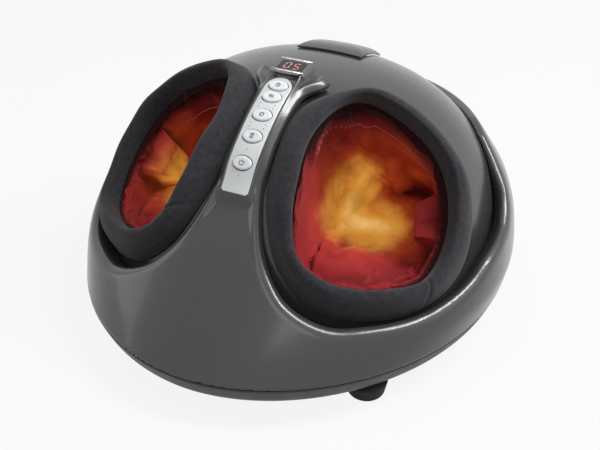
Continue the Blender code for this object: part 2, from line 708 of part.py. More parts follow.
def make_tray():
    top = SKIRT_BOTTOM - FIT_GAP
    rings = [plan_ring(TRAY_DRAW + TRAY_ROUND, FOOT_HEIGHT),
             plan_ring(TRAY_DRAW - TRAY_ROUND / 3, FOOT_HEIGHT + TRAY_ROUND * 2 / 3),
             plan_ring(FIT_GAP, top), plan_ring(TRAY_WALL, top),
             plan_ring(TRAY_DRAW + TRAY_WALL / 2, TRAY_FLOOR + TRAY_ROUND),
             plan_ring(TRAY_DRAW + TRAY_WALL, TRAY_FLOOR)]
    tray = piece("base_tray", loft("base_tray", rings), BLACK, 0.55)
    sunk = TRAY_FLOOR - TRAY_WALL / 2
    spots = [("centre", 0.0, DRIVE_Y)]
    for end, y in DISC_YS:
        for side_word, side in SIDES:
            spots.append((f"{end}_{side_word}", side * DISC_X, y))
    for label, x, y in spots:
        boss = upright(f"axle_boss_{label}", AXLE_BOSS_RADIUS, sunk, TRAY_FLOOR + AXLE_BOSS_HEIGHT, x, y)
        combine(tray, guide(f"axle_boss_{label}", boss), "UNION")
        hole = upright(f"axle_hole_{label}", AXLE_RADIUS + FIT_GAP, TRAY_FLOOR, GEAR_BOTTOM, x, y)
        combine(tray, guide(f"axle_hole_{label}", hole))
    for side_word, side in SIDES:
        for number, (x, y) in enumerate(WELL_POSTS, 1):
            label = f"well_post_{side_word}_{number}"
            post = upright(label, POST_RADIUS, sunk, WELL_FLOOR - FIT_GAP, side * x, y, POST_SIDES)
            combine(tray, guide(label, post), "UNION")
    for number, (x, y) in enumerate(board_corners(), 1):
        top = TRAY_FLOOR + STANDOFF_HEIGHT
        post = upright(f"board_post_{number}", STANDOFF_RADIUS, sunk, top, x, y, POST_SIDES)
        combine(tray, guide(f"board_post_{number}", post), "UNION")
    for label, x, y in SCREW_PLACES:
        bore = upright(f"screw_bore_{label}", SCREW_RADIUS + FIT_GAP, FOOT_HEIGHT, TRAY_FLOOR + CUT_OVERRUN,
                       x, y, BORE_SIDES)
        combine(tray, guide(f"screw_bore_{label}", bore))
        recess_top = FOOT_HEIGHT + SCREW_HEAD + FIT_GAP
        recess = upright(f"screw_recess_{label}", SCREW_HEAD_RADIUS + FIT_GAP, FOOT_HEIGHT - CUT_OVERRUN,
                         recess_top, x, y)
        combine(tray, guide(f"screw_recess_{label}", recess))


def board_corners():
    reach_x = MAIN_BOARD_SIZE[0] / 2 - 2 * STANDOFF_RADIUS
    reach_y = MAIN_BOARD_SIZE[1] / 2 - 2 * STANDOFF_RADIUS
    return [(sx * reach_x, MAIN_BOARD_Y + sy * reach_y) for sx in (-1, 1) for sy in (-1, 1)]


def opening_cutter(name, side):
    outline = grown(HOLE_EDGE, CUFF_FLANGE + OPENING_CLEARANCE)
    surface = height_on(dome_section, DOME_EXPONENTS, outline)
    rings = [in_space(outline, surface - POCKET_REACH / 2), in_space(outline, surface + 2 * POCKET_REACH)]
    return guide(name, loft(name, [mirrored(ring, side) for ring in rings]))


def make_dome():
    foot = TRAY_FLOOR + FIT_GAP
    dome = piece("dome_shell", solid_between("dome_shell", dome_grid(foot)), DARK_GREY, 0.42)
    combine(dome, dome_body("dome_hollow", SHELL_WALL, foot - CUT_OVERRUN, 2))
    for side_word, side in SIDES:
        combine(dome, opening_cutter(f"dome_opening_{side_word}", side))
    for label, x, y in SCREW_PLACES:
        top = TRAY_FLOOR + SCREW_LENGTH + CUT_OVERRUN
        boss = upright(f"screw_boss_{label}", SCREW_BOSS_RADIUS, foot + FIT_GAP, top, x, y)
        combine(dome, guide(f"screw_boss_{label}", boss), "UNION")
        bore = upright(f"boss_bore_{label}", SCREW_RADIUS + FIT_GAP, foot - CUT_OVERRUN, top + CUT_OVERRUN,
                       x, y, BORE_SIDES)
        combine(dome, guide(f"boss_bore_{label}", bore))
    combine(dome, cup_opening())


def make_front_shell():
    grid = skirt_grid()
    shell = piece("front_shell", solid_between("front_shell", grid), DARK_GREY, 0.38)
    inset = (grid - SHELL_WALL * grid_normals(grid))[::2]
    hollow = guide("skirt_hollow", solid_between("skirt_hollow", inset, SKIRT_BOTTOM - CUT_OVERRUN))
    for side_word, side in SIDES:
        combine(hollow, crest_cutter(f"hollow_crest_{side_word}", side, SHELL_WALL))
    combine(hollow, rear_cutter("hollow_rear", SHELL_WALL))
    combine(shell, hollow)
    combine(shell, dome_body("dome_room", -FIT_GAP, SKIRT_BOTTOM - CUT_OVERRUN))
    for side_word, side in SIDES:
        combine(shell, crest_cutter(f"crest_{side_word}", side, 0.0))
    combine(shell, rear_cutter("rear_line", 0.0))
    combine(shell, display_opening())
    combine(shell, inlet_opening())
    for number, y in enumerate(BUTTON_YS, 1):
        combine(shell, oval_cutter(f"shell_hole_{number}", y))
    for number, (rear, ahead) in enumerate(zip(BUTTON_YS[1:], BUTTON_YS[2:]), 1):
        frame = ridge_frame((rear + ahead) / 2)
        outline = circle(STUD_RADIUS, BORE_SIDES)
        post = flat_shape(f"board_stud_{number}", [outline], FIT_GAP - BOARD_DEPTH, -SHELL_WALL / 2, frame)
        combine(shell, guide(f"board_stud_{number}", post), "UNION")


# Controls
def ridge_height(y):
    """Height of the ridge line at a given y."""
    levels = np.linspace(SKIRT_BOTTOM, RIDGE_TOP, SEARCH_STEPS)
    return float(np.interp(y, skirt_section(levels)[1], levels))


def ridge_frame(y):
    """Axes of the ridge line at a given y: across, rearward along the slope, and outward."""
    rise = ridge_height(y + SLOPE_STEP) - ridge_height(y - SLOPE_STEP)
    slope = Vector((0.0, 2 * SLOPE_STEP, rise)).normalized()
    outward = Vector((1.0, 0.0, 0.0)).cross(slope)
    frame = Matrix(((1.0, 0.0, 0.0), tuple(slope), tuple(outward))).transposed().to_4x4()
    return Matrix.Translation((0.0, y, ridge_height(y))) @ frame


def oval(half_width, half_height, count=12):
    turns = [math.tau * (i + 0.5) / count for i in range(count)]
    return [(half_width * math.cos(t), half_height * math.sin(t)) for t in turns]


def oval_cutter(name, y):
    rings = []
    for growth, height in ((BUTTON_FLANGE, -4 * SHELL_WALL), (BUTTON_FLANGE, -BUTTON_SEAT), (0.0, -BUTTON_SEAT),
                           (0.0, 2 * SHELL_WALL)):
        outline = oval(BUTTON_HALF_WIDTH + growth + FIT_GAP, BUTTON_HALF_HEIGHT + growth / 2 + FIT_GAP)
        rings.append([ridge_frame(y) @ Vector((a, b, height)) for a, b in outline])
    return guide(name, loft(name, rings))


def make_buttons():
    top = FIT_GAP + PANEL_THICK + BUTTON_PROUD
    under = -BUTTON_SEAT - FIT_GAP
    for number, y in enumerate(BUTTON_YS, 1):
        rings = []
        for growth, height in ((BUTTON_FLANGE, under - BUTTON_FLANGE_THICK), (BUTTON_FLANGE, under),
                               (0.0, under), (0.0, top - BUTTON_PROUD / 3), (-BUTTON_PROUD / 2, top)):
            outline = oval(BUTTON_HALF_WIDTH + growth, BUTTON_HALF_HEIGHT + growth / 2)
            rings.append([ridge_frame(y) @ Vector((a, b, height)) for a, b in outline])
        piece(f"button_{number}", loft(f"button_{number}", rings), BUTTON_WHITE, 0.35,
              pivot=ridge_frame(y).translation)


def skirt_lift(x, y):
    """Height of the skirt's surface over a point of the ridge."""
    levels = np.linspace(RIDGE_TOP, SKIRT_BOTTOM, LIFT_STEPS)
    points = np.stack([np.full_like(levels, x), np.full_like(levels, y), levels], -1)
    values = section_value(skirt_section, SKIRT_EXPONENTS, points)
    return float(levels[np.argmax(values < 0)])


def ridge_strip(half_width, low, high, ys, ends):
    """Two grids over the ridge, low and high above its surface, with rounded ends."""
    grids = []
    for lift in (high, low):
        rows = []
        for y in ys:
            wide = half_width * min(1.0, ends(y))
            frame = ridge_frame(y)
            outward = np.array(frame.col[2][:3])
            row = [np.array((wide * s, y, skirt_lift(wide * s, y))) + lift * outward for s in STRIP_SHARES]
            rows.append(row)
        grids.append(np.array(rows))
    return grids


def make_panel():
    span = PANEL_REAR_Y - PANEL_FRONT_Y
    ys = [PANEL_FRONT_Y + span * share for share in PANEL_SHARES]
    round_start = PANEL_REAR_Y - PANEL_HALF_WIDTH * PANEL_SLOPE_SHARE

    def ends(y):
        if y < PANEL_FRONT_Y + PANEL_CORNER:
            return 1 - PANEL_CORNER / PANEL_HALF_WIDTH * (1 - (y - PANEL_FRONT_Y) / PANEL_CORNER)
        share = max(0.0, (y - round_start) / (PANEL_REAR_Y - round_start))
        return max(PANEL_TIP_SHARE, math.sqrt(max(0.0, 1 - share ** 2)))

    top, bottom = ridge_strip(PANEL_HALF_WIDTH, FIT_GAP, FIT_GAP + PANEL_THICK, ys, ends)
    panel = piece("control_panel", patch("control_panel", top, bottom), PANEL_GREY, 0.45)
    for number, y in enumerate(BUTTON_YS, 1):
        combine(panel, oval_cutter(f"panel_hole_{number}", y))
    ys = [PANEL_FRONT_Y + span * share for share in BOARD_SHARES]
    top, bottom = ridge_strip(BOARD_HALF_WIDTH, -BOARD_DEPTH - BOARD_THICK, -BOARD_DEPTH, ys, lambda y: 1.0)
    piece("control_board", patch("control_board", top, bottom), BOARD_GREEN, 0.6)


def display_frame():
    front = Vector((0.0, DISPLAY_FRONT_Y, ridge_height(DISPLAY_FRONT_Y)))
    rear = Vector((0.0, DISPLAY_REAR_Y, ridge_height(DISPLAY_REAR_Y)))
    slope = (rear - front).normalized()
    outward = Vector((1.0, 0.0, 0.0)).cross(slope)
    frame = Matrix(((1.0, 0.0, 0.0), tuple(slope), tuple(outward))).transposed().to_4x4()
    return Matrix.Translation((front + rear) / 2) @ frame


def display_half_length():
    rise = ridge_height(DISPLAY_REAR_Y) - ridge_height(DISPLAY_FRONT_Y)
    return math.hypot(DISPLAY_REAR_Y - DISPLAY_FRONT_Y, rise) / 2


def display_opening():
    half = display_half_length() - DISPLAY_RIM
    outline = rounded_box_outline(WINDOW_HALF_WIDTH, half, DISPLAY_CORNER, steps=CORNER_STEPS)
    return guide("display_opening", flat_shape("display_opening", [outline], -4 * SHELL_WALL, SHELL_WALL,
                                               display_frame()))


def make_display():
    frame = display_frame()
    half = display_half_length()
    inner_x, inner_y = WINDOW_HALF_WIDTH, half - DISPLAY_RIM
    layers = ((DISPLAY_HALF_WIDTH, half, SEAT_GAP), (DISPLAY_HALF_WIDTH, half, SEAT_GAP + DISPLAY_RISE / 3),
              (DISPLAY_HALF_WIDTH - DISPLAY_RIM / 2, half - DISPLAY_RIM / 3, DISPLAY_RISE),
              (inner_x, inner_y, DISPLAY_RISE), (inner_x, inner_y, SEAT_GAP))
    rings = []
    for wide, long, height in layers:
        outline = rounded_box_outline(wide, long, DISPLAY_CORNER, steps=CORNER_STEPS)
        rings.append([frame @ Vector((x, y, height)) for x, y in outline])
    piece("display_bezel", loft("display_bezel", rings, closed=True), SILVER, 0.3, 0.6)
    pane = rounded_box_outline(inner_x - FIT_GAP, inner_y - FIT_GAP, DISPLAY_CORNER, steps=CORNER_STEPS)
    top = DISPLAY_RISE - FIT_GAP
    mesh = flat_shape("display_window", [pane], top - WINDOW_THICK, top, frame)
    piece("display_window", mesh, BLACK, 0.12)
    low = top - WINDOW_THICK - FIT_GAP
    mesh = flat_shape("display_module", [pane], low - MODULE_DEPTH, low, frame)
    piece("display_module", mesh, DEEP_GREY, 0.5)


# Grip and its recess
def dome_lift(x, y):
    levels = np.linspace(DOME_TOP, SKIRT_BOTTOM, LIFT_STEPS)
    points = np.stack([np.full_like(levels, x), np.full_like(levels, y), levels], -1)
    values = section_value(dome_section, DOME_EXPONENTS, points)
    return float(levels[np.argmax(values < 0)])


def cup_outline(inset):
    middle = (CUP_FRONT_Y + CUP_REAR_Y) / 2
    half_height = (CUP_REAR_Y - CUP_FRONT_Y) / 2
    return rounded_box_outline(CUP_HALF_WIDTH - inset, half_height - inset, CUP_CORNER - inset, (0.0, middle))


def cup_opening():
    top = DOME_TOP + CUT_OVERRUN
    return guide("cup_opening", flat_shape("cup_opening", [cup_outline(-FIT_GAP)], top - 2 * CUP_DEPTH, top))


def make_handle():
    floor = dome_lift(0.0, (CUP_FRONT_Y + CUP_REAR_Y) / 2) - CUP_DEPTH
    rim = [(x, y, dome_lift(x, y) - FIT_GAP) for x, y in cup_outline(0.0)]
    inner_rim = [(x, y, dome_lift(x, y) - FIT_GAP) for x, y in cup_outline(CUP_WALL)]
    bottom = [(x, y, floor) for x, y in cup_outline(0.0)]
    inner_bottom = [(x, y, floor + CUP_WALL) for x, y in cup_outline(CUP_WALL)]
    piece("handle_cup", loft("handle_cup", [bottom, rim, inner_rim, inner_bottom]), BLACK, 0.6)
    swells = np.array(HANDLE_SWELL_SHARES)
    columns = np.linspace(-1, 1, HANDLE_COLUMNS)
    xs = HANDLE_HALF_WIDTH * columns
    ys = np.linspace(HANDLE_FRONT_Y, HANDLE_REAR_Y, len(swells))
    points = np.array([[(x, y, dome_lift(x, y)) for x in xs] for y in ys])
    normals = dome_normals(points.reshape(-1, 3)).reshape(points.shape)
    swell = np.minimum(1 - np.abs(columns) ** HANDLE_EXPONENT, swells[:, None])[..., None]
    low = points + SEAT_GAP * normals
    high = points + (SEAT_GAP + HANDLE_THICK / 3 + HANDLE_RISE * swell) * normals
    piece("carry_handle", patch("carry_handle", high, low), DARK_GREY, 0.42)


# Cuffs, liners, tubs and air cushions
def make_cuff(side_word, side):
    width = np.linalg.norm(CUFF_EDGE - HOLE_EDGE, axis=1, keepdims=True)
    way = (CUFF_EDGE - HOLE_EDGE) / width
    flange = HOLE_EDGE + CUFF_FLANGE * way
    layers = [on_dome(HOLE_EDGE) - CUFF_FLANGE_DEPTH * OUTWARD]
    for across, height in CUFF_SECTION_SHARES:
        base = on_dome(HOLE_EDGE + across * width * way)
        layers.append(base + CUFF_CROWN * height * OUTWARD)
    for under in (on_dome(CUFF_EDGE), on_dome(flange)):
        layers.append(under + CUFF_SEAT * dome_normals(under))
    inner = on_dome(flange)
    layers.append(inner - CUFF_FLANGE_DEPTH * OUTWARD)
    rings = [mirrored(layer, side) for layer in layers]
    piece(f"cuff_{side_word}", loft(f"cuff_{side_word}", rings, closed=True), CHARCOAL, 0.95)


def floor_ring():
    """The pocket's outline at its floor, in step with the points of the opening."""
    middle = HOLE_EDGE.mean(axis=0)
    turns = np.arctan2(HOLE_EDGE[:, 1] - middle[1], HOLE_EDGE[:, 0] - middle[0]) + OPENING_AZIMUTH
    cos, sin = np.cos(turns), np.sin(turns)
    power = POCKET_EXPONENT
    total = np.abs(cos / POCKET_HALF_WIDTH) ** power + np.abs(sin / POCKET_HALF_LENGTH) ** power
    scale = total ** (-1 / power)
    return np.stack([DISC_X + cos * scale, POCKET_CENTRE_Y + sin * scale, POCKET_FLOOR + 0 * cos], -1)


def pocket_grid(shares):
    start = on_dome(HOLE_EDGE)
    bend = start - POCKET_REACH * OUTWARD
    end = floor_ring()
    return np.array([(1 - s) ** 2 * start + 2 * s * (1 - s) * bend + s * s * end for s in shares])


def moved_out(grid, distance):
    return grid - distance * grid_normals(grid)


def make_liner(side_word, side):
    shares = np.linspace(LINER_START_SHARE, 1.0, LINER_ROWS)
    grid = pocket_grid(shares)
    count = grid.shape[1]
    turns = math.tau * np.arange(count) / count
    waves = (1 + np.sin(FOLD_COUNT * turns)) / 2
    drift = (1 + np.sin(DRIFT_COUNT * turns + DRIFT_TURN)) / 2
    depth = np.sin(math.pi * shares)[:, None]
    blend = shares[:, None]
    folds = FOLD_DEPTH * depth * ((1 - blend) * waves[None] + blend * drift[None])
    outer = moved_out(grid, -(LINER_GAP + folds)[..., None])
    inner = moved_out(grid, -(LINER_GAP + LINER_WALL + folds)[..., None])
    outer[-1, :, 2] = POCKET_FLOOR
    inner[-1, :, 2] = POCKET_FLOOR + LINER_WALL
    rings = [mirrored(ring, side) for ring in list(inner[::-1]) + list(outer)]
    piece(f"liner_{side_word}", loft(f"liner_{side_word}", rings), LINER_RED, 0.8)


def make_well(side_word, side):
    grid = pocket_grid(np.array(WELL_SHARES))
    inner = moved_out(grid, WELL_OFFSET)
    outer = moved_out(grid, WELL_OFFSET + WELL_WALL)
    inner[-1, :, 2] = WELL_FLOOR + WELL_WALL
    outer[-1, :, 2] = WELL_FLOOR
    rings = [mirrored(ring, side) for ring in list(inner[::-1]) + list(outer)]
    well = piece(f"foot_well_{side_word}", loft(f"foot_well_{side_word}", rings), BLACK, 0.6)
    combine(well, DOME_ROOM, "INTERSECT")
    for end, y in DISC_YS:
        window = upright(f"window_{end}_{side_word}", DISC_WINDOW_RADIUS, WELL_FLOOR - CUT_OVERRUN,
                         WELL_FLOOR + WELL_WALL + CUT_OVERRUN, side * DISC_X, y, MOTOR_SIDES)
        combine(well, guide(f"window_{end}_{side_word}", window))
    port, way = hose_port(side)
    turn = way.to_track_quat("Z", "Y").to_matrix().to_4x4()
    outline = circle(HOSE_RADIUS + RUN_GAP, ROUND_SIDES)
    place = Matrix.Translation(port) @ turn
    hole = flat_shape(f"port_{side_word}", [outline], -WELL_OFFSET, WELL_OFFSET, place)
    combine(well, guide(f"port_{side_word}", hole))


def make_airbags(side_word, side):
    for label, start_share, end_share in AIRBAG_SPAN_SHARES:
        shares = np.linspace(AIRBAG_SHARES[0], AIRBAG_SHARES[1], AIRBAG_ROWS)
        grid = pocket_grid(shares)
        count = grid.shape[1]
        columns = [k % count for k in range(round(start_share * count), round(end_share * count) + 1)]
        rises = [np.sin(np.linspace(0, math.pi, count)) for count in (len(shares), len(columns))]
        bulge = np.outer(*rises)
        half = (AIRBAG_EDGE + (AIRBAG_HALF - AIRBAG_EDGE) * np.sqrt(bulge))[..., None]
        normals = -grid_normals(grid)[:, columns]
        middle = grid[:, columns] + WELL_OFFSET * AIRBAG_PLACE_SHARE * normals
        mesh = patch(f"airbag_{label}_{side_word}", mirrored(middle + half * normals, side),
                     mirrored(middle - half * normals, side))
        piece(f"airbag_{label}_{side_word}", mesh, BAG_GREY, 0.5)


def hose_port(side):
    """The point on the upper air cushion where its hose ends, and the way out of the tub there."""
    grid = pocket_grid(np.linspace(AIRBAG_SHARES[0], AIRBAG_SHARES[1], AIRBAG_ROWS))
    column = round(PORT_SHARE * grid.shape[1])
    middle = AIRBAG_ROWS // 2
    outward = -grid_normals(grid)[middle, column]
    reach = WELL_OFFSET * AIRBAG_PLACE_SHARE + AIRBAG_HALF + FIT_GAP
    point = mirrored(grid[middle, column] + reach * outward, side)
    return Vector(point), Vector(mirrored(outward, side)).normalized()


# Kneading drive
def gear_outline(teeth, module, phase=0.0):
    pitch = module * teeth / 2
    half = math.pi * module / 4 * (1 - TOOTH_BACKLASH_SHARE)
    slant = math.tan(PRESSURE_ANGLE)
    root, tip = pitch - TOOTH_ROOT_SHARE * module, pitch + TOOTH_TOP_SHARE * module
    points = []
    for tooth in range(teeth):
        middle = phase + math.tau * tooth / teeth
        for radius, sign in ((root, -1), (tip, -1), (tip, 1), (root, 1)):
            turn = middle + sign * (half - (radius - pitch) * slant) / radius
            points.append((radius * math.cos(turn), radius * math.sin(turn)))
    return points


def placed(outline, x, y):
    return [(x + a, y + b) for a, b in outline]


def make_centre_gear():
    bore = circle(AXLE_RADIUS + RUN_GAP, ROUND_SIDES, (0.0, DRIVE_Y))
    spur = placed(gear_outline(CENTRE_TEETH, GEAR_MODULE), 0.0, DRIVE_Y)
    wheel_low = WORM_Z - WHEEL_WIDTH / 2
    mesh = flat_shape("centre_gear", [spur, bore], GEAR_BOTTOM, GEAR_TOP)
    gear = piece("centre_gear", mesh, NYLON, 0.5, pivot=(0.0, DRIVE_Y, GEAR_BOTTOM))
    outline = circle(2 * AXLE_RADIUS, ROUND_SIDES, (0.0, DRIVE_Y))
    hub = flat_shape("centre_hub", [outline, bore], GEAR_TOP - CUT_OVERRUN, wheel_low + CUT_OVERRUN)
    combine(gear, guide("centre_hub", hub), "UNION")
    wheel = placed(gear_outline(WHEEL_TEETH, WHEEL_MODULE), 0.0, DRIVE_Y)
    mesh = flat_shape("worm_wheel", [wheel, bore], wheel_low, wheel_low + WHEEL_WIDTH)
    combine(gear, guide("worm_wheel", mesh), "UNION")
    top = wheel_low + WHEEL_WIDTH + CUT_OVERRUN
    mesh = upright("centre_axle", AXLE_RADIUS, TRAY_FLOOR + FIT_GAP, top, 0.0, DRIVE_Y)
    piece("centre_axle", mesh, STEEL, 0.3, 0.9)


def make_discs():
    for side_word, side in SIDES:
        for end, y in DISC_YS:
            x = side * DISC_X
            label = f"{end}_{side_word}"
            phase = math.pi / DISC_TEETH if end == "front" else 0.0
            bore = circle(AXLE_RADIUS + RUN_GAP, ROUND_SIDES, (x, y))
            outline = placed(gear_outline(DISC_TEETH, GEAR_MODULE, phase), x, y)
            mesh = flat_shape(f"disc_gear_{label}", [outline, bore], GEAR_BOTTOM, GEAR_TOP)
            gear = piece(f"disc_gear_{label}", mesh, NYLON, 0.5, pivot=(x, y, GEAR_BOTTOM))
            outline = circle(HUB_RADIUS, ROUND_SIDES, (x, y))
            hub = flat_shape(f"disc_hub_{label}", [outline, bore], GEAR_TOP - CUT_OVERRUN,
                             DISC_PLATE_BOTTOM - FIT_GAP)
            combine(gear, guide(f"disc_hub_{label}", hub), "UNION")
            rim = circle(DISC_RADIUS, DISC_SIDES, (x, y))
            mesh = flat_shape(f"kneading_disc_{label}", [rim, bore], DISC_PLATE_BOTTOM, DISC_PLATE_TOP)
            disc = piece(f"kneading_disc_{label}", mesh, NYLON, 0.45, pivot=(x, y, DISC_PLATE_BOTTOM))
            for number in range(KNOB_COUNT):
                turn = math.tau * number / KNOB_COUNT
                knob = knob_mesh(f"knob_{label}_{number}", x + KNOB_CIRCLE * math.cos(turn),
                                 y + KNOB_CIRCLE * math.sin(turn))
                combine(disc, guide(f"knob_{label}_{number}", knob), "UNION")
            mesh = upright(f"disc_axle_{label}", AXLE_RADIUS, TRAY_FLOOR + FIT_GAP,
                           DISC_PLATE_TOP - FIT_GAP, x, y)
            piece(f"disc_axle_{label}", mesh, STEEL, 0.3, 0.9)


def knob_mesh(name, x, y):
    shoulder = KNOB_TOP - KNOB_RADIUS
    profile = [(KNOB_RADIUS, DISC_PLATE_TOP - CUT_OVERRUN), (KNOB_RADIUS, shoulder)]
    profile.append((KNOB_RADIUS * math.cos(KNOB_TURN), shoulder + KNOB_RADIUS * math.sin(KNOB_TURN)))
    profile.append((KNOB_RADIUS / 5, KNOB_TOP))
    return turned(name, profile, BORE_SIDES, Matrix.Translation((x, y, 0.0)))


def make_worm():
    """The worm, its thread wound once round for each tooth of the wheel, on its shaft."""
    rows = round(WORM_LENGTH / WORM_LEAD * THREAD_ROWS)
    start = DRIVE_Y - WORM_LENGTH / 2
    root = WORM_RADIUS - TOOTH_ROOT_SHARE * WHEEL_MODULE
    stub = start - STUB_LENGTH
    rings = [worm_ring(stub, lambda angle: SHAFT_RADIUS), worm_ring(start, lambda angle: SHAFT_RADIUS)]
    for row in range(rows + 1):
        y = start + WORM_LENGTH * row / rows
        rings.append(worm_ring(y, lambda angle, y=y: thread_radius(y, angle, root)))
    rings.append(worm_ring(start + WORM_LENGTH, lambda angle: SHAFT_RADIUS))
    rings.append(worm_ring(motor_front() - FIT_GAP, lambda angle: SHAFT_RADIUS))
    for index, ring in enumerate(rings[1:], 1):
        if abs(ring[0][1] - rings[index - 1][0][1]) < WELD:
            rings[index] = [(x, y + FIT_GAP, z) for x, y, z in ring]
    piece("worm_shaft", loft("worm_shaft", rings), STEEL, 0.3, 0.9, pivot=(WORM_X, DRIVE_Y, WORM_Z))


def worm_ring(y, radius):
    angles = [math.tau * k / ROUND_SIDES for k in range(ROUND_SIDES)]
    return [(WORM_X + radius(a) * math.cos(a), y, WORM_Z - radius(a) * math.sin(a)) for a in angles]


def thread_radius(y, angle, root):
    """Height of the thread: a groove faces the wheel at its tooth."""
    phase = ((y - DRIVE_Y) / WORM_LEAD - (angle - math.pi) / math.tau) % 1.0
    height = (TOOTH_TOP_SHARE + TOOTH_ROOT_SHARE) * WHEEL_MODULE
    away = abs(phase - 0.5) * 2
    share = (THREAD_HALF_SHARE + THREAD_FLANK_SHARE - away) / THREAD_FLANK_SHARE
    return root + height * min(1.0, max(0.0, share))


def centre_tip():
    return CENTRE_RADIUS + TOOTH_TOP_SHARE * GEAR_MODULE


def motor_front():
    return DRIVE_Y + centre_tip() + RUN_GAP + BRACKET_THICK + FIT_GAP


def make_motor():
    front = motor_front()
    along_y = Matrix(((1, 0, 0, WORM_X), (0, 0, 1, front), (0, -1, 0, WORM_Z), (0, 0, 0, 1)))
    profile = [(MOTOR_RADIUS - BRACKET_THICK, 0.0), (MOTOR_RADIUS, BRACKET_THICK),
               (MOTOR_RADIUS, MOTOR_LENGTH - BRACKET_THICK), (MOTOR_RADIUS / 2, MOTOR_LENGTH)]
    piece("drive_motor", turned("drive_motor", profile, MOTOR_SIDES, along_y), STEEL, 0.35, 0.9)
    upright_rear = front - FIT_GAP
    upright_front = upright_rear - BRACKET_THICK
    arm_low = WORM_Z + WORM_RADIUS + TOOTH_TOP_SHARE * WHEEL_MODULE + RUN_GAP
    arm_high = arm_low + BRACKET_THICK
    hanger_rear = DRIVE_Y - WORM_LENGTH / 2 - RUN_GAP
    hanger_front = hanger_rear - BRACKET_THICK
    hanger_low = WORM_Z - 2 * SHAFT_RADIUS
    foot_low = TRAY_FLOOR + FIT_GAP
    foot_rear = upright_rear + MOTOR_RADIUS
    side_view = [(upright_front, foot_low), (foot_rear, foot_low), (foot_rear, foot_low + BRACKET_THICK),
                 (upright_rear, foot_low + BRACKET_THICK), (upright_rear, arm_high), (hanger_front, arm_high),
                 (hanger_front, hanger_low), (hanger_rear, hanger_low), (hanger_rear, arm_low),
                 (upright_front, arm_low)]
    across = Matrix(((0, 0, 1, WORM_X), (1, 0, 0, 0), (0, 1, 0, 0), (0, 0, 0, 1)))
    half = BRACKET_HALF_WIDTH
    plate = flat_shape("motor_bracket", [side_view], -half, half, across)
    bracket = piece("motor_bracket", plate, STEEL, 0.4, 0.8)
    outline = circle(SHAFT_RADIUS + RUN_GAP / 2, MOTOR_SIDES)
    bore = flat_shape("bracket_bore", [outline], hanger_front - front - CUT_OVERRUN, CUT_OVERRUN, along_y)
    combine(bracket, guide("bracket_bore", bore))


# Electrical and air pieces
def block(name, size, centre, low, radius):
    outline = rounded_box_outline(size[0] / 2, size[1] / 2, radius, centre, CORNER_STEPS)
    return flat_shape(name, [outline], low, low + size[2])


def make_electrics():
    low = TRAY_FLOOR + FIT_GAP
    piece("air_pump", block("air_pump", PUMP_SIZE, PUMP_CENTRE, low, EDGE_ROUND * 2), BLACK, 0.5)
    valve_low = low + PUMP_SIZE[2] + FIT_GAP
    piece("air_valve", block("air_valve", VALVE_SIZE, PUMP_CENTRE, valve_low, EDGE_ROUND), NYLON, 0.5)
    piece("main_board", block("main_board", MAIN_BOARD_SIZE, (0.0, MAIN_BOARD_Y),
                              TRAY_FLOOR + STANDOFF_HEIGHT + FIT_GAP, EDGE_ROUND), BOARD_GREEN, 0.6)
    for side_word, side in SIDES:
        centre = (side * DISC_X, POCKET_CENTRE_Y)
        bottom = WELL_FLOOR + WELL_WALL + FIT_GAP
        pad = block(f"heater_pad_{side_word}", HEATER_SIZE, centre, bottom, EDGE_ROUND)
        piece(f"heater_pad_{side_word}", pad, LINER_RED, 0.7)
        port, way = hose_port(side)
        top = valve_low + VALVE_SIZE[2] + FIT_GAP
        start = Vector((PUMP_CENTRE[0] + side * VALVE_SIZE[0] / 4, PUMP_CENTRE[1], top))
        first = start + Vector((0.0, 0.0, HOSE_STRAIGHT))
        last = port + way * HOSE_STRAIGHT
        rise = first + Vector((0.0, 0.0, HOSE_BEND))
        turn = last + way * HOSE_BEND / 3
        points = [start]
        for step in range(HOSE_STEPS + 1):
            t = step / HOSE_STEPS
            early = first * (1 - t) ** 3 + rise * 3 * t * (1 - t) ** 2
            points.append(early + turn * 3 * t * t * (1 - t) + last * t ** 3)
        points.append(port)
        piece(f"air_hose_{side_word}", tube(f"air_hose_{side_word}", points, HOSE_RADIUS), BAG_GREY, 0.4)


def inlet_frame():
    wide, front, rear, centre = skirt_section(INLET_HEIGHT)
    return Matrix(((-1, 0, 0, 0), (0, 0, 1, float(rear)), (0, 1, 0, INLET_HEIGHT), (0, 0, 0, 1)))


def inlet_opening():
    outline = rounded_box_outline(INLET_HALF_WIDTH + FIT_GAP, INLET_HALF_HEIGHT + FIT_GAP, EDGE_ROUND,
                                  steps=CORNER_STEPS)
    return guide("inlet_opening", flat_shape("inlet_opening", [outline], -3 * SHELL_WALL, 3 * SHELL_WALL,
                                             inlet_frame()))


def make_inlet():
    frame = inlet_frame()
    seat = SEAT_GAP
    layers = ((0.0, -INLET_DEPTH), (0.0, seat), (INLET_FLANGE, seat), (INLET_FLANGE, seat + SHELL_WALL),
              (-INLET_FLANGE, seat + SHELL_WALL), (-INLET_FLANGE, SHELL_WALL - INLET_DEPTH))
    rings = []
    for growth, height in layers:
        outline = rounded_box_outline(INLET_HALF_WIDTH + growth, INLET_HALF_HEIGHT + growth, EDGE_ROUND,
                                      steps=CORNER_STEPS)
        rings.append([frame @ Vector((x, y, height)) for x, y in outline])
    piece("power_inlet", loft("power_inlet", rings), BLACK, 0.4)


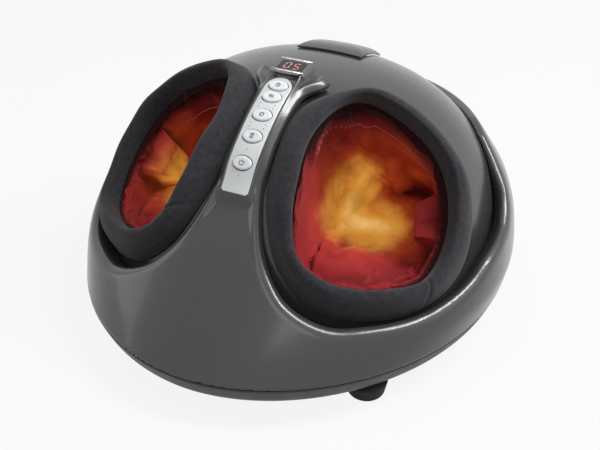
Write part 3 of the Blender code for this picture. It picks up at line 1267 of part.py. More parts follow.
# Feet and screws
def make_feet():
    for end, y in (("front", FOOT_FRONT_Y), ("rear", FOOT_REAR_Y)):
        for side_word, side in SIDES:
            top = FOOT_HEIGHT - FIT_GAP
            edge = FOOT_BOTTOM_RADIUS / 8
            profile = [(FOOT_BOTTOM_RADIUS - edge, 0.0), (FOOT_BOTTOM_RADIUS, edge), (FOOT_TOP_RADIUS, top)]
            label = f"rubber_foot_{end}_{side_word}"
            mesh = turned(label, profile, FOOT_SIDES, Matrix.Translation((side * FOOT_X, y, 0.0)))
            piece(label, mesh, BLACK, 0.85)


def make_screws():
    for label, x, y in SCREW_PLACES:
        low = FOOT_HEIGHT
        head = low + SCREW_HEAD
        profile = [(SCREW_HEAD_RADIUS, low), (SCREW_HEAD_RADIUS, head), (SCREW_RADIUS, head),
                   (SCREW_RADIUS, head + SCREW_LENGTH)]
        mesh = turned(f"base_screw_{label}", profile, BORE_SIDES, Matrix.Translation((x, y, 0.0)))
        piece(f"base_screw_{label}", mesh, STEEL, 0.35, 0.9)


REAR_FACE = float(skirt_section(INLET_HEIGHT)[2]) + SEAT_GAP + SHELL_WALL
MIDDLE.location.y = -(float(skirt_section(SKIRT_BOTTOM)[1]) + REAR_FACE) / 2
make_tray()
make_dome()
make_front_shell()
make_panel()
make_buttons()
make_display()
make_handle()
DOME_ROOM = dome_body("dome_room_inside", SHELL_WALL + FIT_GAP, TRAY_FLOOR + FIT_GAP, 2)
for word, sign in SIDES:
    make_cuff(word, sign)
    make_liner(word, sign)
    make_well(word, sign)
    make_airbags(word, sign)
make_centre_gear()
make_discs()
make_worm()
make_motor()
make_electrics()
make_inlet()
make_feet()
make_screws()
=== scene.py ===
"""Looks of the foot massager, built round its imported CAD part.

Metres, +Z up, the front towards -Y. Shapes are worked out in the design frame of the part's
source, in which the ridge stands at its own depth, and are then moved back by FRAME_SHIFT.
"""

import json
import math

import bmesh
import bpy
import numpy as np
from mathutils import Matrix, Vector
from mathutils.bvhtree import BVHTree


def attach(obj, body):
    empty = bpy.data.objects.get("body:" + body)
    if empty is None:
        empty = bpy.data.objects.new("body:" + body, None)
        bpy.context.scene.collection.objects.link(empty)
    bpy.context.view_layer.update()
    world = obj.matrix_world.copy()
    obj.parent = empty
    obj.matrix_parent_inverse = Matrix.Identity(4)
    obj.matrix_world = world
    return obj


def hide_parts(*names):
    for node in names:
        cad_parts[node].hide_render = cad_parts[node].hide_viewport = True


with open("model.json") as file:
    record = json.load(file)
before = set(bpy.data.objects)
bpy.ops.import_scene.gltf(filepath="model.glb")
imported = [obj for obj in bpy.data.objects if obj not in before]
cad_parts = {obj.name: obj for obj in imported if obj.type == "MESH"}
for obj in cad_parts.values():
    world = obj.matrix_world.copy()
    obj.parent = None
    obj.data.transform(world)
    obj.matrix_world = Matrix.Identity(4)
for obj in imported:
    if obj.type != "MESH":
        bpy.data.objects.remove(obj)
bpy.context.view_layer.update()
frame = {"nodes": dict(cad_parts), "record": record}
HOUSING = "housing"
FRAME_SHIFT = 0.00472624

# Camera
CAMERA_AZIMUTH = math.radians(25.64)
CAMERA_ELEVATION = math.radians(29.5)
CAMERA_DISTANCE = 0.872
CAMERA_AIM = (0.0, FRAME_SHIFT, 0.100)
CAMERA_LENS = 60.0
CAMERA_SHIFT = (0.0005, -0.08)

# Body, as in the part's source
BODY_HALF_WIDTH = 0.187
BODY_HALF_DEPTH = 0.201
SKIRT_BOTTOM = 0.033
RIDGE_TOP = 0.212
SKIRT_EXPONENTS = (1.93, 2.05)
SKIRT_SHARES = (
    (0.000, 0.979, -1.030, 0.970, 0.00), (0.124, 1.000, -0.945, 0.965, 0.00),
    (0.264, 0.989, -0.841, 0.945, 0.00), (0.404, 0.952, -0.736, 0.905, 0.00),
    (0.545, 0.866, -0.632, 0.846, 0.01), (0.657, 0.786, -0.545, 0.776, 0.025),
    (0.725, 0.717, -0.498, 0.726, 0.04), (0.798, 0.620, -0.423, 0.657, 0.06),
    (0.865, 0.497, -0.333, 0.557, 0.085), (0.913, 0.374, -0.249, 0.458, 0.10),
    (0.949, 0.246, -0.169, 0.358, 0.11), (0.972, 0.150, -0.109, 0.299, 0.11),
    (0.994, 0.030, 0.050, 0.170, 0.11))
DOME_HALF_WIDTH = 0.170
DOME_FRONT = -0.148
DOME_REAR = 0.172
DOME_CENTRE = 0.032
DOME_TOP = 0.197
DOME_FOOT = 0.0153
DOME_FOOT_DRAW = 0.010
DOME_MERIDIANS = (2.1, 2.35)
DOME_EXPONENTS = (2.5, 2.06)
REAR_LINE = ((-0.00905, 0.1272), (0.0442, 0.1272), (0.0603, 0.1357), (0.0905, 0.1442), (0.1608, 0.1484))
SHELL_WALL = 0.0034
DOME_WALL = 0.0045

# Openings, seen along their own axis
OPENING_AZIMUTH = math.radians(45)
OPENING_ELEVATION = math.radians(45)
OPENING_CENTRE = (0.021, 0.019)
OPENING_HALF_WIDTH = 0.085
OPENING_HALF_HEIGHT = 0.092
CUFF_EDGE_SHARES = (
    (1.00, -0.12), (0.88, 0.36), (0.47, 0.90), (-0.02, 1.00), (-0.48, 0.86), (-0.80, 0.47),
    (-0.97, 0.06), (-0.97, -0.42), (-0.70, -0.82), (-0.15, -1.00), (0.42, -0.93), (0.83, -0.63))
HOLE_EDGE_SHARES = (
    (0.76, 0.00), (0.67, 0.38), (0.30, 0.84), (-0.05, 0.85), (-0.45, 0.58), (-0.71, 0.16),
    (-0.82, -0.18), (-0.79, -0.44), (-0.52, -0.67), (-0.08, -0.78), (0.34, -0.74), (0.64, -0.42))
CREST_SHARES = (
    (-0.08, 1.15), (-0.39, 1.04), (-0.63, 0.82), (-0.82, 0.58), (-0.98, 0.30), (-1.07, 0.03),
    (-1.12, -0.23), (-1.11, -0.48), (-1.04, -0.71), (-0.88, -0.90), (-0.66, -1.03), (-0.39, -1.08),
    (-0.06, -1.10), (0.25, -1.07), (0.56, -0.98), (0.81, -0.86), (1.01, -0.72), (1.22, -0.57),
    (1.39, -0.40), (1.50, -0.17), (1.53, 0.06), (1.53, 0.50), (1.45, 1.30), (0.80, 2.00), (0.10, 1.60))
LIP_WIDTH = 0.0054
LIP_DROP = 0.0070
WELL_DEPTH = 0.0996
LIP_ROUND = 0.0052
LIP_JOIN = 0.002
WELL_JOIN = 0.003
REAR_JOIN = 0.0015
SHELL_FOOT_GAP = 0.0002
SHELL_DOME_GAP = 0.0004
MOUTH_DEPTH = 0.09
MOUTH_JOIN = 0.001
CONTROL_CUTS = ((0.0098, -0.1095, -0.033), (0.0115, -0.0245, 0.02))  # half width, front, rear
INLET_CUT = (0.0134, 0.050, 0.0094, 0.17)  # half width, middle, half height, front

# Raised console on the ridge
CONSOLE_RISE = 0.0012
CONSOLE_RIM = 0.0012
CONSOLE_BEVEL = 0.0034
CONSOLE_SINK = 0.0036
CONSOLE_BACKING = 0.0026
CONSOLE_BACKED = (0.016, -0.114, 0.008)  # half width, middle, half depth
CONSOLE_REACH = 0.062
CONSOLE_FADE = 0.014
CONSOLE_RUN = 0.034
CONSOLE_END = 0.045
CONSOLE_AHEAD = 1.5
LIP_LEVEL = 0.0022
LIP_SLOPE = 0.0040

# Controls
PANEL_HALF_WIDTH = 0.0115
PANEL_FRONT = -0.1150
PANEL_REAR = -0.0295
PANEL_CORNER = 0.0028
PANEL_LOW = 0.0009
PANEL_HIGH = 0.0019
PANEL_CELL = 0.0004
PANEL_GRID_SIDE = 0.0130
PANEL_ROUND = 0.0007
BED_HALF_WIDTH = 0.0103
BED_MARGIN = 0.0015
BED_DROP = 0.0003
BED_COUNTS = (13, 90)
BUTTON_YS = (-0.0385, -0.050, -0.0665, -0.083, -0.100)
BUTTON_HALF_WIDTH = 0.0080
BUTTON_HALF_HEIGHT = 0.0054
BUTTON_GAP = 0.0006
BUTTON_TOP = 0.0030
BUTTON_PROFILE = (  # growth and height
    (0.0010, -0.0026), (0.0010, -0.0016), (0.0, -0.0016), (0.0, BUTTON_TOP - 0.0007),
    (-0.0003, BUTTON_TOP - 0.0003), (-0.0010, BUTTON_TOP - 0.00008), (-0.0022, BUTTON_TOP),
    (-0.0036, BUTTON_TOP - 0.0001), (-0.0050, BUTTON_TOP - 0.00018))
LED_AHEAD = 0.0095
LED_RADIUS = 0.0007
DOT_PLACES = (0.0062, 0.0018)
DOT_RADIUS = 0.0005
DISPLAY_FRONT = -0.0245
DISPLAY_REAR = -0.0030
DISPLAY_HALF_WIDTH = 0.0150
DISPLAY_FOOT = 0.0110
WINDOW_HALF_WIDTH = 0.0112
DISPLAY_RIM = 0.0042
DISPLAY_RISE = 0.0030
DISPLAY_CORNER = 0.0012
PANE_GAP = 0.0001
PANE_FOOT = -0.0010
PANE_TOP = 0.0023
STRIP_HALF_LENGTH = 0.0138
STRIP_HALF_WIDTH = 0.0009
STRIP_THICK = 0.00015
STRIP_INSET = 0.0018
DIGIT_SIZE = (0.0022, 0.0040)
DIGIT_SHIFT = 0.0040
DIGIT_STROKE = 0.00026
DIGIT_GAP = 0.12
DIGIT_LEAN = 0.12

# Cuffs and liners
CUFF_CROWN = 0.0150
CUFF_SECTION_SHARES = (
    (0.00, 0.25), (0.05, 0.60), (0.20, 0.90), (0.45, 1.00), (0.70, 0.88), (0.90, 0.52), (1.00, 0.20))
CUFF_TUCK = 0.008
CUFF_FLANGE = 0.0065
CUFF_SEAT = 0.0014
CUFF_SEAMS = {"right": 5.18, "left": 3.36}
SEAM_SLANT = -0.10
SEAM_DEPTH, SEAM_WIDTH = 0.14, 0.013
SEAM_RIDGE, SEAM_RIDGE_OFF, SEAM_RIDGE_WIDTH = 0.02, 0.05, 0.03
CUFF_COUNTS = (330, 26)
CUFF_SWELL, CUFF_SWELLS, CUFF_SWELL_START = 0.05, 5, 1.3
CUFF_RIPPLE, CUFF_RIPPLES = 0.03, 11
POCKET_FLOOR = 0.0632
POCKET_HALF_WIDTH = 0.047
POCKET_HALF_LENGTH = 0.100
POCKET_EXPONENT = 2.8
POCKET_REACH = 0.045
POCKET_CENTRE = (0.0897, 0.004)
LINER_TUCK = 0.02
LINER_START = 0.0040
LINER_PUFF = 0.0085
LINER_CLEARANCE = 0.0045
LINER_PLEAT = 0.0035
LINER_GROWTH = 0.20
LINER_FRAMES = 24
LINER_BACKING = 0.0032
LINER_BACKED_MOST = 0.010
LINER_LEAST_GAP = 0.0032
POUCH_TURN, POUCH_HALF_TURN = 0.945, 0.030
POUCH_PLACE, POUCH_HALF_PLACE = 0.32, 0.15
POUCH_SWELL = 0.018
POUCH_TURN_EDGE, POUCH_PLACE_EDGE = 0.022, 0.07
LINER_FINE = 0.0014
LINER_UNEVEN = 0.9
HELD_MOUTH = 0.07
HELD_FLOOR, HELD_FLOOR_RUN = 1.55, 0.3
# Painted shade on the liners. The values are: how far down from the rim it reaches at each turn around the
# opening, its darkest share, how strongly it darkens the valleys of folds and lightens their crests, and how
# widely the folds are evened out to find them
PAINTED_SHADE_BAND = (
    (0.0, 0.15), (0.10, 0.21), (0.22, 0.27), (0.36, 0.17), (0.48, 0.05), (0.75, 0.03), (0.92, 0.08))
PAINTED_SHADE_LEAST = 0.06
PAINTED_SHADE_RELIEF = 170
PAINTED_SHADE_ROUNDS = 30
HELD_LEVELS = 20
CLOTH = {"quality": 6, "mass": 0.12, "tension_stiffness": 12.0, "compression_stiffness": 12.0,
         "shear_stiffness": 4.0, "bending_stiffness": 0.35, "air_damping": 2.0}
LINER_COUNTS = (230, 64, 26)
LINER_PLEATS = 13
LINER_NOISE_SIZES = (0.030, 0.012)
LINER_SEEDS = {"right": (5, 21), "left": (9, 22)}
LINER_REACH = 0.030
LIFT_REACH = 0.012
LIFT_MOST = 0.010
# Painted light from within the pockets, as base colour and then as glow. It runs from yellow at the lit spot
# through orange and red to deeper red far from it
LINER_PAINTED_LIGHT_TONES = (
    (0.0, (0.78, 0.58, 0.26)), (1.0, (0.27, 0.017, 0.022)), (0.25, (0.70, 0.27, 0.06)),
    (0.50, (0.42, 0.034, 0.030)))
LINER_PAINTED_GLOW = (
    (0.0, (0.80, 0.60, 0.22)), (0.70, (0.0, 0.0, 0.0)), (0.20, (0.55, 0.30, 0.04)),
    (0.42, (0.16, 0.025, 0.004)))
SEAM_TURN = 0.20
STITCH_COUNT = 14
STITCH_PITCH = 0.0105
STITCH_PLACE, STITCH_FALL, STITCH_TURN = 0.235, 0.024, 0.004
THREAD_PLACE, THREAD_SAG, THREAD_TURN = 0.245, 0.02, 0.16
HEM_PLACE, HEM_SAG, HEM_START, HEM_TURN = 0.10, 0.05, 0.57, 0.34
THREAD_RADIUS = 0.00042
HEM_RADIUS = 0.0009
THREAD_ASIDE = (0.31, 0.52, 0.80)

# Grip and feet
GRIP_CUT = (0.0290, 0.099, 0.0275, 0.12)  # half width, middle, half depth, bottom
GRIP_HALF_WIDTH = 0.030
GRIP_YS = (0.058, 0.104)
GRIP_COUNTS = (31, 61)
GRIP_SWELL = ((0, 0.0), (0.2, 0.7), (0.4, 1), (0.6, 1), (0.8, 0.9), (1, 0.3))
GRIP_GAP = 0.0008
GRIP_EDGE = 0.0013
GRIP_RISE = 0.0030
SIDES = (("right", 1), ("left", -1))
FOOT_X = 0.116
FOOT_YS = (("front", -0.122), ("rear", 0.112))
FOOT_HEIGHT = 0.0117
FOOT_RIBS = 6
FOOT_RIB = 0.0004
FOOT_RIB_PITCH = 0.0016

# Base tray
TRAY_BOTTOM = 0.012
TRAY_TOP = 0.0327
TRAY_FLOOR = 0.0150
TRAY_WALL = 0.0030
TRAY_DRAW = 0.010
TRAY_POWER = 0.8
TRAY_INSET = 0.0004
TRAY_ROUND = 0.012
SCREW_PLACES = ((0.100, -0.1195), (0.100, 0.1290))
SCREW_HOLE = 0.0034
SCREW_HOLE_TOP = 0.0141

# Grids of the large shells: where each run starts and its spacing, and then the end
SHELL_GRID = (
    ((0.00035, 0.0007), (0.040, 0.0013), (0.196, 0)),
    ((-0.212, 0.0016), (-0.128, 0.0009), (-0.004, 0.0015), (0.204, 0)),
    ((0.028, 0.0015), (0.125, 0.0009), (0.218, 0)))
DOME_GRID = (
    ((0.0008, 0.0016), (0.180, 0)), ((-0.160, 0.0016), (0.184, 0)), ((0.010, 0.0016), (0.206, 0)))
TRAY_GRID = (
    ((0.00075, 0.0015), (0.192, 0)), ((-0.213, 0.0015), (0.203, 0)), ((0.009, 0.0011), (0.0365, 0)))
LEAST_SLOPE = 0.5
EVEN_PULL = 0.6
NORMAL_STEP = 0.0008
RIDGE_STEP = 0.003
CURVE_SIDE = 0.010
RIDGE_LINE = (-0.150, 0.0, 301)
RAY_START = 1.3 * RIDGE_TOP
RAY_STEPS = 500

# Stage
WHITE = (1.0, 1.0, 1.0, 1.0)
FLOOR_REACH = 6.0
FLOOR_GLOW = 0.88
SKY_COLOUR = (0.93, 0.95, 1.0, 1.0)
SKY_STRENGTH = 0.21


# Smooth lines and body surfaces
def smooth_through(xs, ys, x):
    """A smooth line through points that never swings past them."""
    xs, ys, x = (np.asarray(values, float) for values in (xs, ys, x))
    steps = np.diff(xs)
    slopes = np.diff(ys) / steps
    tangents = np.concatenate(([slopes[0]], np.zeros(len(xs) - 2), [slopes[-1]]))
    product = slopes[:-1] * slopes[1:]
    total = np.where(product > 0, slopes[:-1] + slopes[1:], 1.0)
    tangents[1:-1] = np.where(product > 0, 2 * product / total, 0.0)
    i = np.clip(np.searchsorted(xs, x) - 1, 0, len(xs) - 2)
    t = (np.clip(x, xs[0], xs[-1]) - xs[i]) / steps[i]
    start = ys[i] * (1 + 2 * t) * (1 - t) ** 2 + tangents[i] * steps[i] * t * (1 - t) ** 2
    return start + ys[i + 1] * t * t * (3 - 2 * t) - tangents[i + 1] * steps[i] * t * t * (1 - t)


def skirt_section(z):
    """Half width, front, rear and centre of the skirt at a height."""
    shares, widths, *depths = np.array(SKIRT_SHARES).T
    share = (np.asarray(z, float) - SKIRT_BOTTOM) / (RIDGE_TOP - SKIRT_BOTTOM)
    wide = BODY_HALF_WIDTH * smooth_through(shares, widths, share)
    return wide, *(BODY_HALF_DEPTH * smooth_through(shares, depth, share) for depth in depths)


def foot_draw(z):
    """How far the dome draws in below the skirt's lower edge."""
    return DOME_FOOT_DRAW * np.clip((SKIRT_BOTTOM - z) / (SKIRT_BOTTOM - DOME_FOOT), 0.0, 1.0)


def dome_section(z):
    """Half width, front, rear and centre of the dome at a height."""
    z = np.asarray(z, float)
    share = np.clip((z - SKIRT_BOTTOM) / (DOME_TOP - SKIRT_BOTTOM), 0.0, 0.9999)
    front_share, rear_share = ((1 - share ** power) ** (1 / power) for power in DOME_MERIDIANS)
    draw = foot_draw(z)
    wide = DOME_HALF_WIDTH * rear_share - draw
    front = DOME_CENTRE + (DOME_FRONT - DOME_CENTRE) * front_share + draw
    rear = DOME_CENTRE + (DOME_REAR - DOME_CENTRE) * rear_share - draw
    return wide, front, rear, DOME_CENTRE + 0 * z


def section_value(section, exponents, x, y):
    """Below zero inside the body, above zero outside."""
    wide, front, rear, centre = section
    ahead = y < centre
    power = np.where(ahead, *exponents)
    reach = np.where(ahead, centre - front, rear - centre)
    return (np.abs(x / wide) ** power + np.abs((y - centre) / reach) ** power) ** (1 / power) - 1


def skirt_value(x, y, z):
    return section_value(skirt_section(z), SKIRT_EXPONENTS, x, y)


def dome_value(x, y, z):
    return section_value(dome_section(z), DOME_EXPONENTS, x, y)


def box_grid(axes, kind=float):
    """The three coordinates on a box grid, each an array along its own axis only."""
    return tuple(part.astype(kind) for part in np.meshgrid(*axes, indexing="ij", sparse=True))


def skirt_field(axes):
    """Distance from the skirt's surface on a box grid, below zero inside."""
    value = skirt_value(*box_grid(axes)).astype(np.float32)
    return value / slope_of(value, axes)


def dome_field(axes):
    """Distance from the dome's surface on a box grid, smooth over its top as well."""
    x, y, z = box_grid(axes)
    share = np.maximum((z - SKIRT_BOTTOM) / (DOME_TOP - SKIRT_BOTTOM), 0.0)
    front_share, rear_share = ((1 - np.minimum(share, 0.999) ** power) ** (1 / power)
                               for power in DOME_MERIDIANS)
    draw = foot_draw(z)
    ahead = y < DOME_CENTRE
    front = (DOME_CENTRE - DOME_FRONT) * front_share / rear_share - draw
    reach = np.where(ahead, front, DOME_REAR - DOME_CENTRE - draw)
    power = np.where(ahead, *DOME_EXPONENTS)
    plan = (np.abs(x / (DOME_HALF_WIDTH - draw)) ** power
            + np.abs((y - DOME_CENTRE) / reach) ** power) ** (1 / power)
    value = (plan ** DOME_MERIDIANS[1] + share ** DOME_MERIDIANS[1] - 1).astype(np.float32)
    return value / slope_of(value, axes)


def slope_of(value, axes):
    steps = np.gradient(value, *axes)
    return np.maximum(np.sqrt(sum(step * step for step in steps)), LEAST_SLOPE)


def pointing(azimuth, elevation):
    """Unit way at an azimuth from the front and an elevation."""
    level = math.cos(elevation)
    return np.array([math.sin(azimuth) * level, -math.cos(azimuth) * level, math.sin(elevation)])


OUTWARD = pointing(OPENING_AZIMUTH, OPENING_ELEVATION)
ACROSS = np.array([math.cos(OPENING_AZIMUTH), math.sin(OPENING_AZIMUTH), 0.0])
ALONG = np.cross(OUTWARD, ACROSS)


def smooth_loop(points, count):
    """Evenly counted points of a smooth closed line through the given ones."""
    points = np.asarray(points, float)
    turns = np.arange(count) / count * len(points)
    base = np.floor(turns).astype(int)
    t = (turns - base)[:, None]
    p0, p1, p2, p3 = (points[(base + k) % len(points)] for k in (-1, 0, 1, 2))
    return p1 + t / 2 * (p2 - p0 + t * (2 * p0 - 5 * p1 + 4 * p2 - p3 + t * (3 * (p1 - p2) + p3 - p0)))


def opening_outline(shares, count):
    scale = np.array([OPENING_HALF_WIDTH, OPENING_HALF_HEIGHT])
    return np.array(OPENING_CENTRE) + smooth_loop(shares, count) * scale


def on_dome(outline):
    """Points of the dome's surface, along the opening's axis over each point of an outline."""
    reach = np.linspace(RAY_START, 0.0, RAY_STEPS)
    plane = outline[:, :1] * ACROSS + outline[:, 1:] * ALONG
    values = dome_value(*np.moveaxis(plane[:, None] + reach[None, :, None] * OUTWARD, -1, 0))
    inside = values < 0
    met = inside.any(axis=1)
    first = np.maximum(np.argmax(inside, axis=1), 1)
    rows = np.arange(len(outline))
    outer, inner = values[rows, first - 1], values[rows, first]
    share = np.clip(outer / np.where(met, outer - inner, 1.0), 0.0, 1.0)
    depths = reach[first - 1] + share * (reach[first] - reach[first - 1])
    depths = np.interp(rows, rows[met], depths[met], period=len(outline))
    return plane + depths[:, None] * OUTWARD


def dome_normals(points):
    slopes = [dome_value(*np.moveaxis(points + step, -1, 0)) - dome_value(*np.moveaxis(points - step, -1, 0))
              for step in NORMAL_STEP * np.eye(3)]
    normals = np.stack(slopes, -1)
    return normals / np.linalg.norm(normals, axis=-1, keepdims=True)


def ridge_height(y):
    levels = np.linspace(SKIRT_BOTTOM, RIDGE_TOP, 600)
    return np.interp(y, skirt_section(levels)[1], levels)


def slope_frame(slope, place):
    """Placing matrix with its axes across, rearward along a slope, and outward."""
    slope = slope.normalized()
    outward = Vector((1.0, 0.0, 0.0)).cross(slope)
    turn = Matrix(((1.0, 0.0, 0.0), tuple(slope), tuple(outward))).transposed().to_4x4()
    return np.array(Matrix.Translation(place) @ turn)


def ridge_frame(y):
    rise = float(ridge_height(y + RIDGE_STEP) - ridge_height(y - RIDGE_STEP))
    return slope_frame(Vector((0.0, 2 * RIDGE_STEP, rise)), (0.0, y, float(ridge_height(y))))


def placed(place, outline, height):
    """Flat points at one height, moved by a placing matrix."""
    points = np.column_stack([outline, np.full(len(outline), height), np.ones(len(outline))])
    return (place @ points.T)[:3].T


def oval(half_width, half_height, count):
    turns = math.tau * np.arange(count) / count
    return np.column_stack([half_width * np.cos(turns), half_height * np.sin(turns)])


# Smooth joins of fields
def smooth_max(a, b, width):
    blend = np.maximum(width - np.abs(a - b), 0.0) / width
    return np.maximum(a, b) + blend * blend * width / 4


def smooth_min(a, b, width):
    return -smooth_max(-a, -b, width)


def outline_distance(outline, u, v):
    """Signed distance in the plane from a closed line, below zero inside."""
    ahead = np.roll(outline, -1, axis=0)
    spans = ahead - outline
    best = np.full(u.shape, 1e9)
    inside = np.zeros(u.shape, bool)
    for (ax, ay), (_, by), (sx, sy) in zip(outline, ahead, spans):
        t = np.clip(((u - ax) * sx + (v - ay) * sy) / (sx * sx + sy * sy), 0.0, 1.0)
        best = np.minimum(best, (u - ax - t * sx) ** 2 + (v - ay - t * sy) ** 2)
        if ay != by:
            crosses = (ay > v) != (by > v)
            inside ^= crosses & (u < sx * (v - ay) / (by - ay) + ax)
    return np.where(inside, -1.0, 1.0) * np.sqrt(best)


def plane_map(outline, reach=0.34, cell=0.0012):
    grid = np.arange(-reach, reach, cell)
    u, v = np.meshgrid(grid, grid, indexing="ij")
    return grid[0], cell, outline_distance(outline, u, v).astype(np.float32)


def read_map(made, u, v):
    start, cell, values = made
    a = np.clip((u - start) / cell, 0, values.shape[0] - 1.001)
    b = np.clip((v - start) / cell, 0, values.shape[1] - 1.001)
    i, j = a.astype(np.int32), b.astype(np.int32)
    a, b = (a - i).astype(np.float32), (b - j).astype(np.float32)
    low = values[i, j] * (1 - a) + values[i + 1, j] * a
    high = values[i, j + 1] * (1 - a) + values[i + 1, j + 1] * a
    return low * (1 - b) + high * b


def from_outline(outline_map, axes):
    """Distance from an outline seen along the right opening's axis, and depth along it, on a box grid."""
    x, y, z = box_grid(axes, np.float32)
    u, v, depth = (x * way[0] + y * way[1] + z * way[2] for way in (ACROSS, ALONG, OUTWARD))
    return read_map(outline_map, u, v), depth


# Surfaces from fields
def surface_net(field, axes):
    """Points and four-sided faces over the zero level of a field on a box grid."""
    cells = np.array(field.shape) - 1
    inside = field < 0
    points, owners, faces = [], [], []
    for axis in range(3):
        near = np.moveaxis(inside, axis, 0)
        crossed = np.argwhere(np.moveaxis(near[1:] != near[:-1], 0, axis))
        far = crossed.copy()
        far[:, axis] += 1
        a, b = field[tuple(crossed.T)], field[tuple(far.T)]
        share = a / (a - b)
        place = np.stack([axes[k][crossed[:, k]] for k in range(3)], 1)
        place[:, axis] += share * (axes[axis][far[:, axis]] - axes[axis][crossed[:, axis]])
        around = np.repeat(crossed[:, None, :], 4, axis=1)
        first, second = (axis + 1) % 3, (axis + 2) % 3
        around[:, 1:3, first] -= 1
        around[:, 2:4, second] -= 1
        numbers = np.ravel_multi_index(np.moveaxis(around, 2, 0), cells, mode="clip")
        points.append(np.repeat(place, 4, axis=0))
        owners.append(numbers.ravel())
        faces.append(np.where((a < 0)[:, None], numbers, numbers[:, ::-1]))
    owners, points, faces = (np.concatenate(parts) for parts in (owners, points, faces))
    used, place = np.unique(owners, return_inverse=True)
    counts = np.bincount(place)
    centres = np.stack([np.bincount(place, points[:, k]) / counts for k in range(3)], 1)
    return centres, np.searchsorted(used, faces)


def sample(field, axes, points):
    """Value and slope of a field at points, straight between its grid points."""
    index, share, width = [], [], []
    for k in range(3):
        i = np.clip(np.searchsorted(axes[k], points[:, k]) - 1, 0, len(axes[k]) - 2)
        span = axes[k][i + 1] - axes[k][i]
        index.append(i)
        width.append(span)
        share.append(np.clip((points[:, k] - axes[k][i]) / span, 0.0, 1.0))
    corners = np.empty((2, 2, 2, len(points)))
    for step in np.ndindex(2, 2, 2):
        corners[step] = field[tuple(i + ahead for i, ahead in zip(index, step))]
    tx, ty, tz = share
    along_z = corners[:, :, 0] * (1 - tz) + corners[:, :, 1] * tz
    along_y = along_z[:, 0] * (1 - ty) + along_z[:, 1] * ty
    value = along_y[0] * (1 - tx) + along_y[1] * tx
    slope_x = (along_y[1] - along_y[0]) / width[0]
    across_y = along_z[:, 1] - along_z[:, 0]
    slope_y = (across_y[0] * (1 - tx) + across_y[1] * tx) / width[1]
    flat = corners[0] * (1 - tx) + corners[1] * tx
    flat = flat[0] * (1 - ty) + flat[1] * ty
    slope_z = (flat[1] - flat[0]) / width[2]
    return value, np.stack([slope_x, slope_y, slope_z], 1)


def evened(points, faces, field, axes, rounds=2, limit=0.0006):
    """Net points spread evenly and drawn onto the surface."""
    pairs = np.concatenate([faces[:, [k, (k + 1) % 4]] for k in range(4)])
    counts = np.bincount(pairs[:, 0], minlength=len(points))
    for turn in range(rounds + 1):
        if turn < rounds:
            near = points[pairs[:, 1]]
            mean = np.stack([np.bincount(pairs[:, 0], near[:, k], len(points)) for k in range(3)], 1)
            points = points + EVEN_PULL * (mean / counts[:, None] - points)
        for _ in range(2):
            value, slope = sample(field, axes, points)
            step = value / np.maximum((slope * slope).sum(1), LEAST_SLOPE ** 2)
            points = points - np.clip(step, -limit, limit)[:, None] * slope
    return points


def quad_mesh(name, points, faces):
    mesh = bpy.data.meshes.new(name)
    mesh.vertices.add(len(points))
    mesh.vertices.foreach_set("co", np.asarray(points, np.float32).ravel())
    sides = faces.shape[1]
    mesh.loops.add(faces.size)
    mesh.loops.foreach_set("vertex_index", faces.astype(np.int32).ravel())
    mesh.polygons.add(len(faces))
    mesh.polygons.foreach_set("loop_start", np.arange(0, faces.size, sides, dtype=np.int32))
    mesh.update(calc_edges=True)
    mesh.validate()
    mesh.shade_smooth()
    return mesh


def mirrored_mesh(name, half, axes):
    """Surface of a field given on one side of the middle plane, its first axis running outward."""
    whole = (np.concatenate([-axes[0][::-1], axes[0]]), *axes[1:])
    field = np.concatenate([half[::-1], half])
    points, faces = surface_net(field, whole)
    return quad_mesh(name, evened(points, faces, field, whole), faces)


def grid_axes(table):
    return tuple(spaced(*stops) for stops in table)


def spaced(*stops):
    """Grid positions: pairs of where a run starts and its spacing, and then the end."""
    runs = []
    for (start, step), end in zip(stops[:-1], [stop[0] for stop in stops[1:]]):
        runs.append(np.linspace(start, end, max(2, round((end - start) / step) + 1))[:-1])
    return np.concatenate(runs + [[stops[-1][0]]])


# Pieces
def linked(name, data):
    made = bpy.data.objects.new(name, data)
    bpy.context.scene.collection.objects.link(made)
    return made


def show(name, mesh, material, replaces=(), body=HOUSING, sharp=None):
    """A piece of the object: its mesh, made in the design frame, is moved into the shared frame."""
    mesh.transform(Matrix.Translation((0.0, FRAME_SHIFT, 0.0)))
    made = linked(name, mesh)
    mesh.materials.append(material)
    mesh.shade_smooth()
    if sharp is not None:
        mesh.set_sharp_from_angle(angle=math.radians(sharp))
    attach(made, body)
    if replaces:
        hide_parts(*replaces)
    return made


def ring_faces(rows, columns, closed_rows=False, closed_columns=True):
    """Faces of a grid of points, rows by columns."""
    last_row = rows if closed_rows else rows - 1
    last_column = columns if closed_columns else columns - 1
    i, j = np.meshgrid(np.arange(last_row), np.arange(last_column), indexing="ij")
    below, right = (i + 1) % rows, (j + 1) % columns
    corners = (i * columns + j, i * columns + right, below * columns + right, below * columns + j)
    return np.stack([corner.ravel() for corner in corners], 1)


def loft_mesh(name, rings, closed=False, flip=False):
    """Rings of equal count joined in turn, with a face at each end, or joined end to end."""
    rings = np.asarray(rings, float)
    rows, columns = rings.shape[:2]
    faces = ring_faces(rows, columns, closed)
    mesh = quad_mesh(name, rings.reshape(-1, 3), faces[:, ::-1] if flip else faces)
    if not closed:
        bm = bmesh.new()
        bm.from_mesh(mesh)
        bm.verts.ensure_lookup_table()
        for row in (0, rows - 1):
            bm.faces.new([bm.verts[row * columns + k] for k in range(columns)])
        bmesh.ops.recalc_face_normals(bm, faces=bm.faces)
        bm.to_mesh(mesh)
        bm.free()
    return mesh


def mesh_from(name, bm):
    mesh = bpy.data.meshes.new(name)
    bm.to_mesh(mesh)
    bm.free()
    return mesh


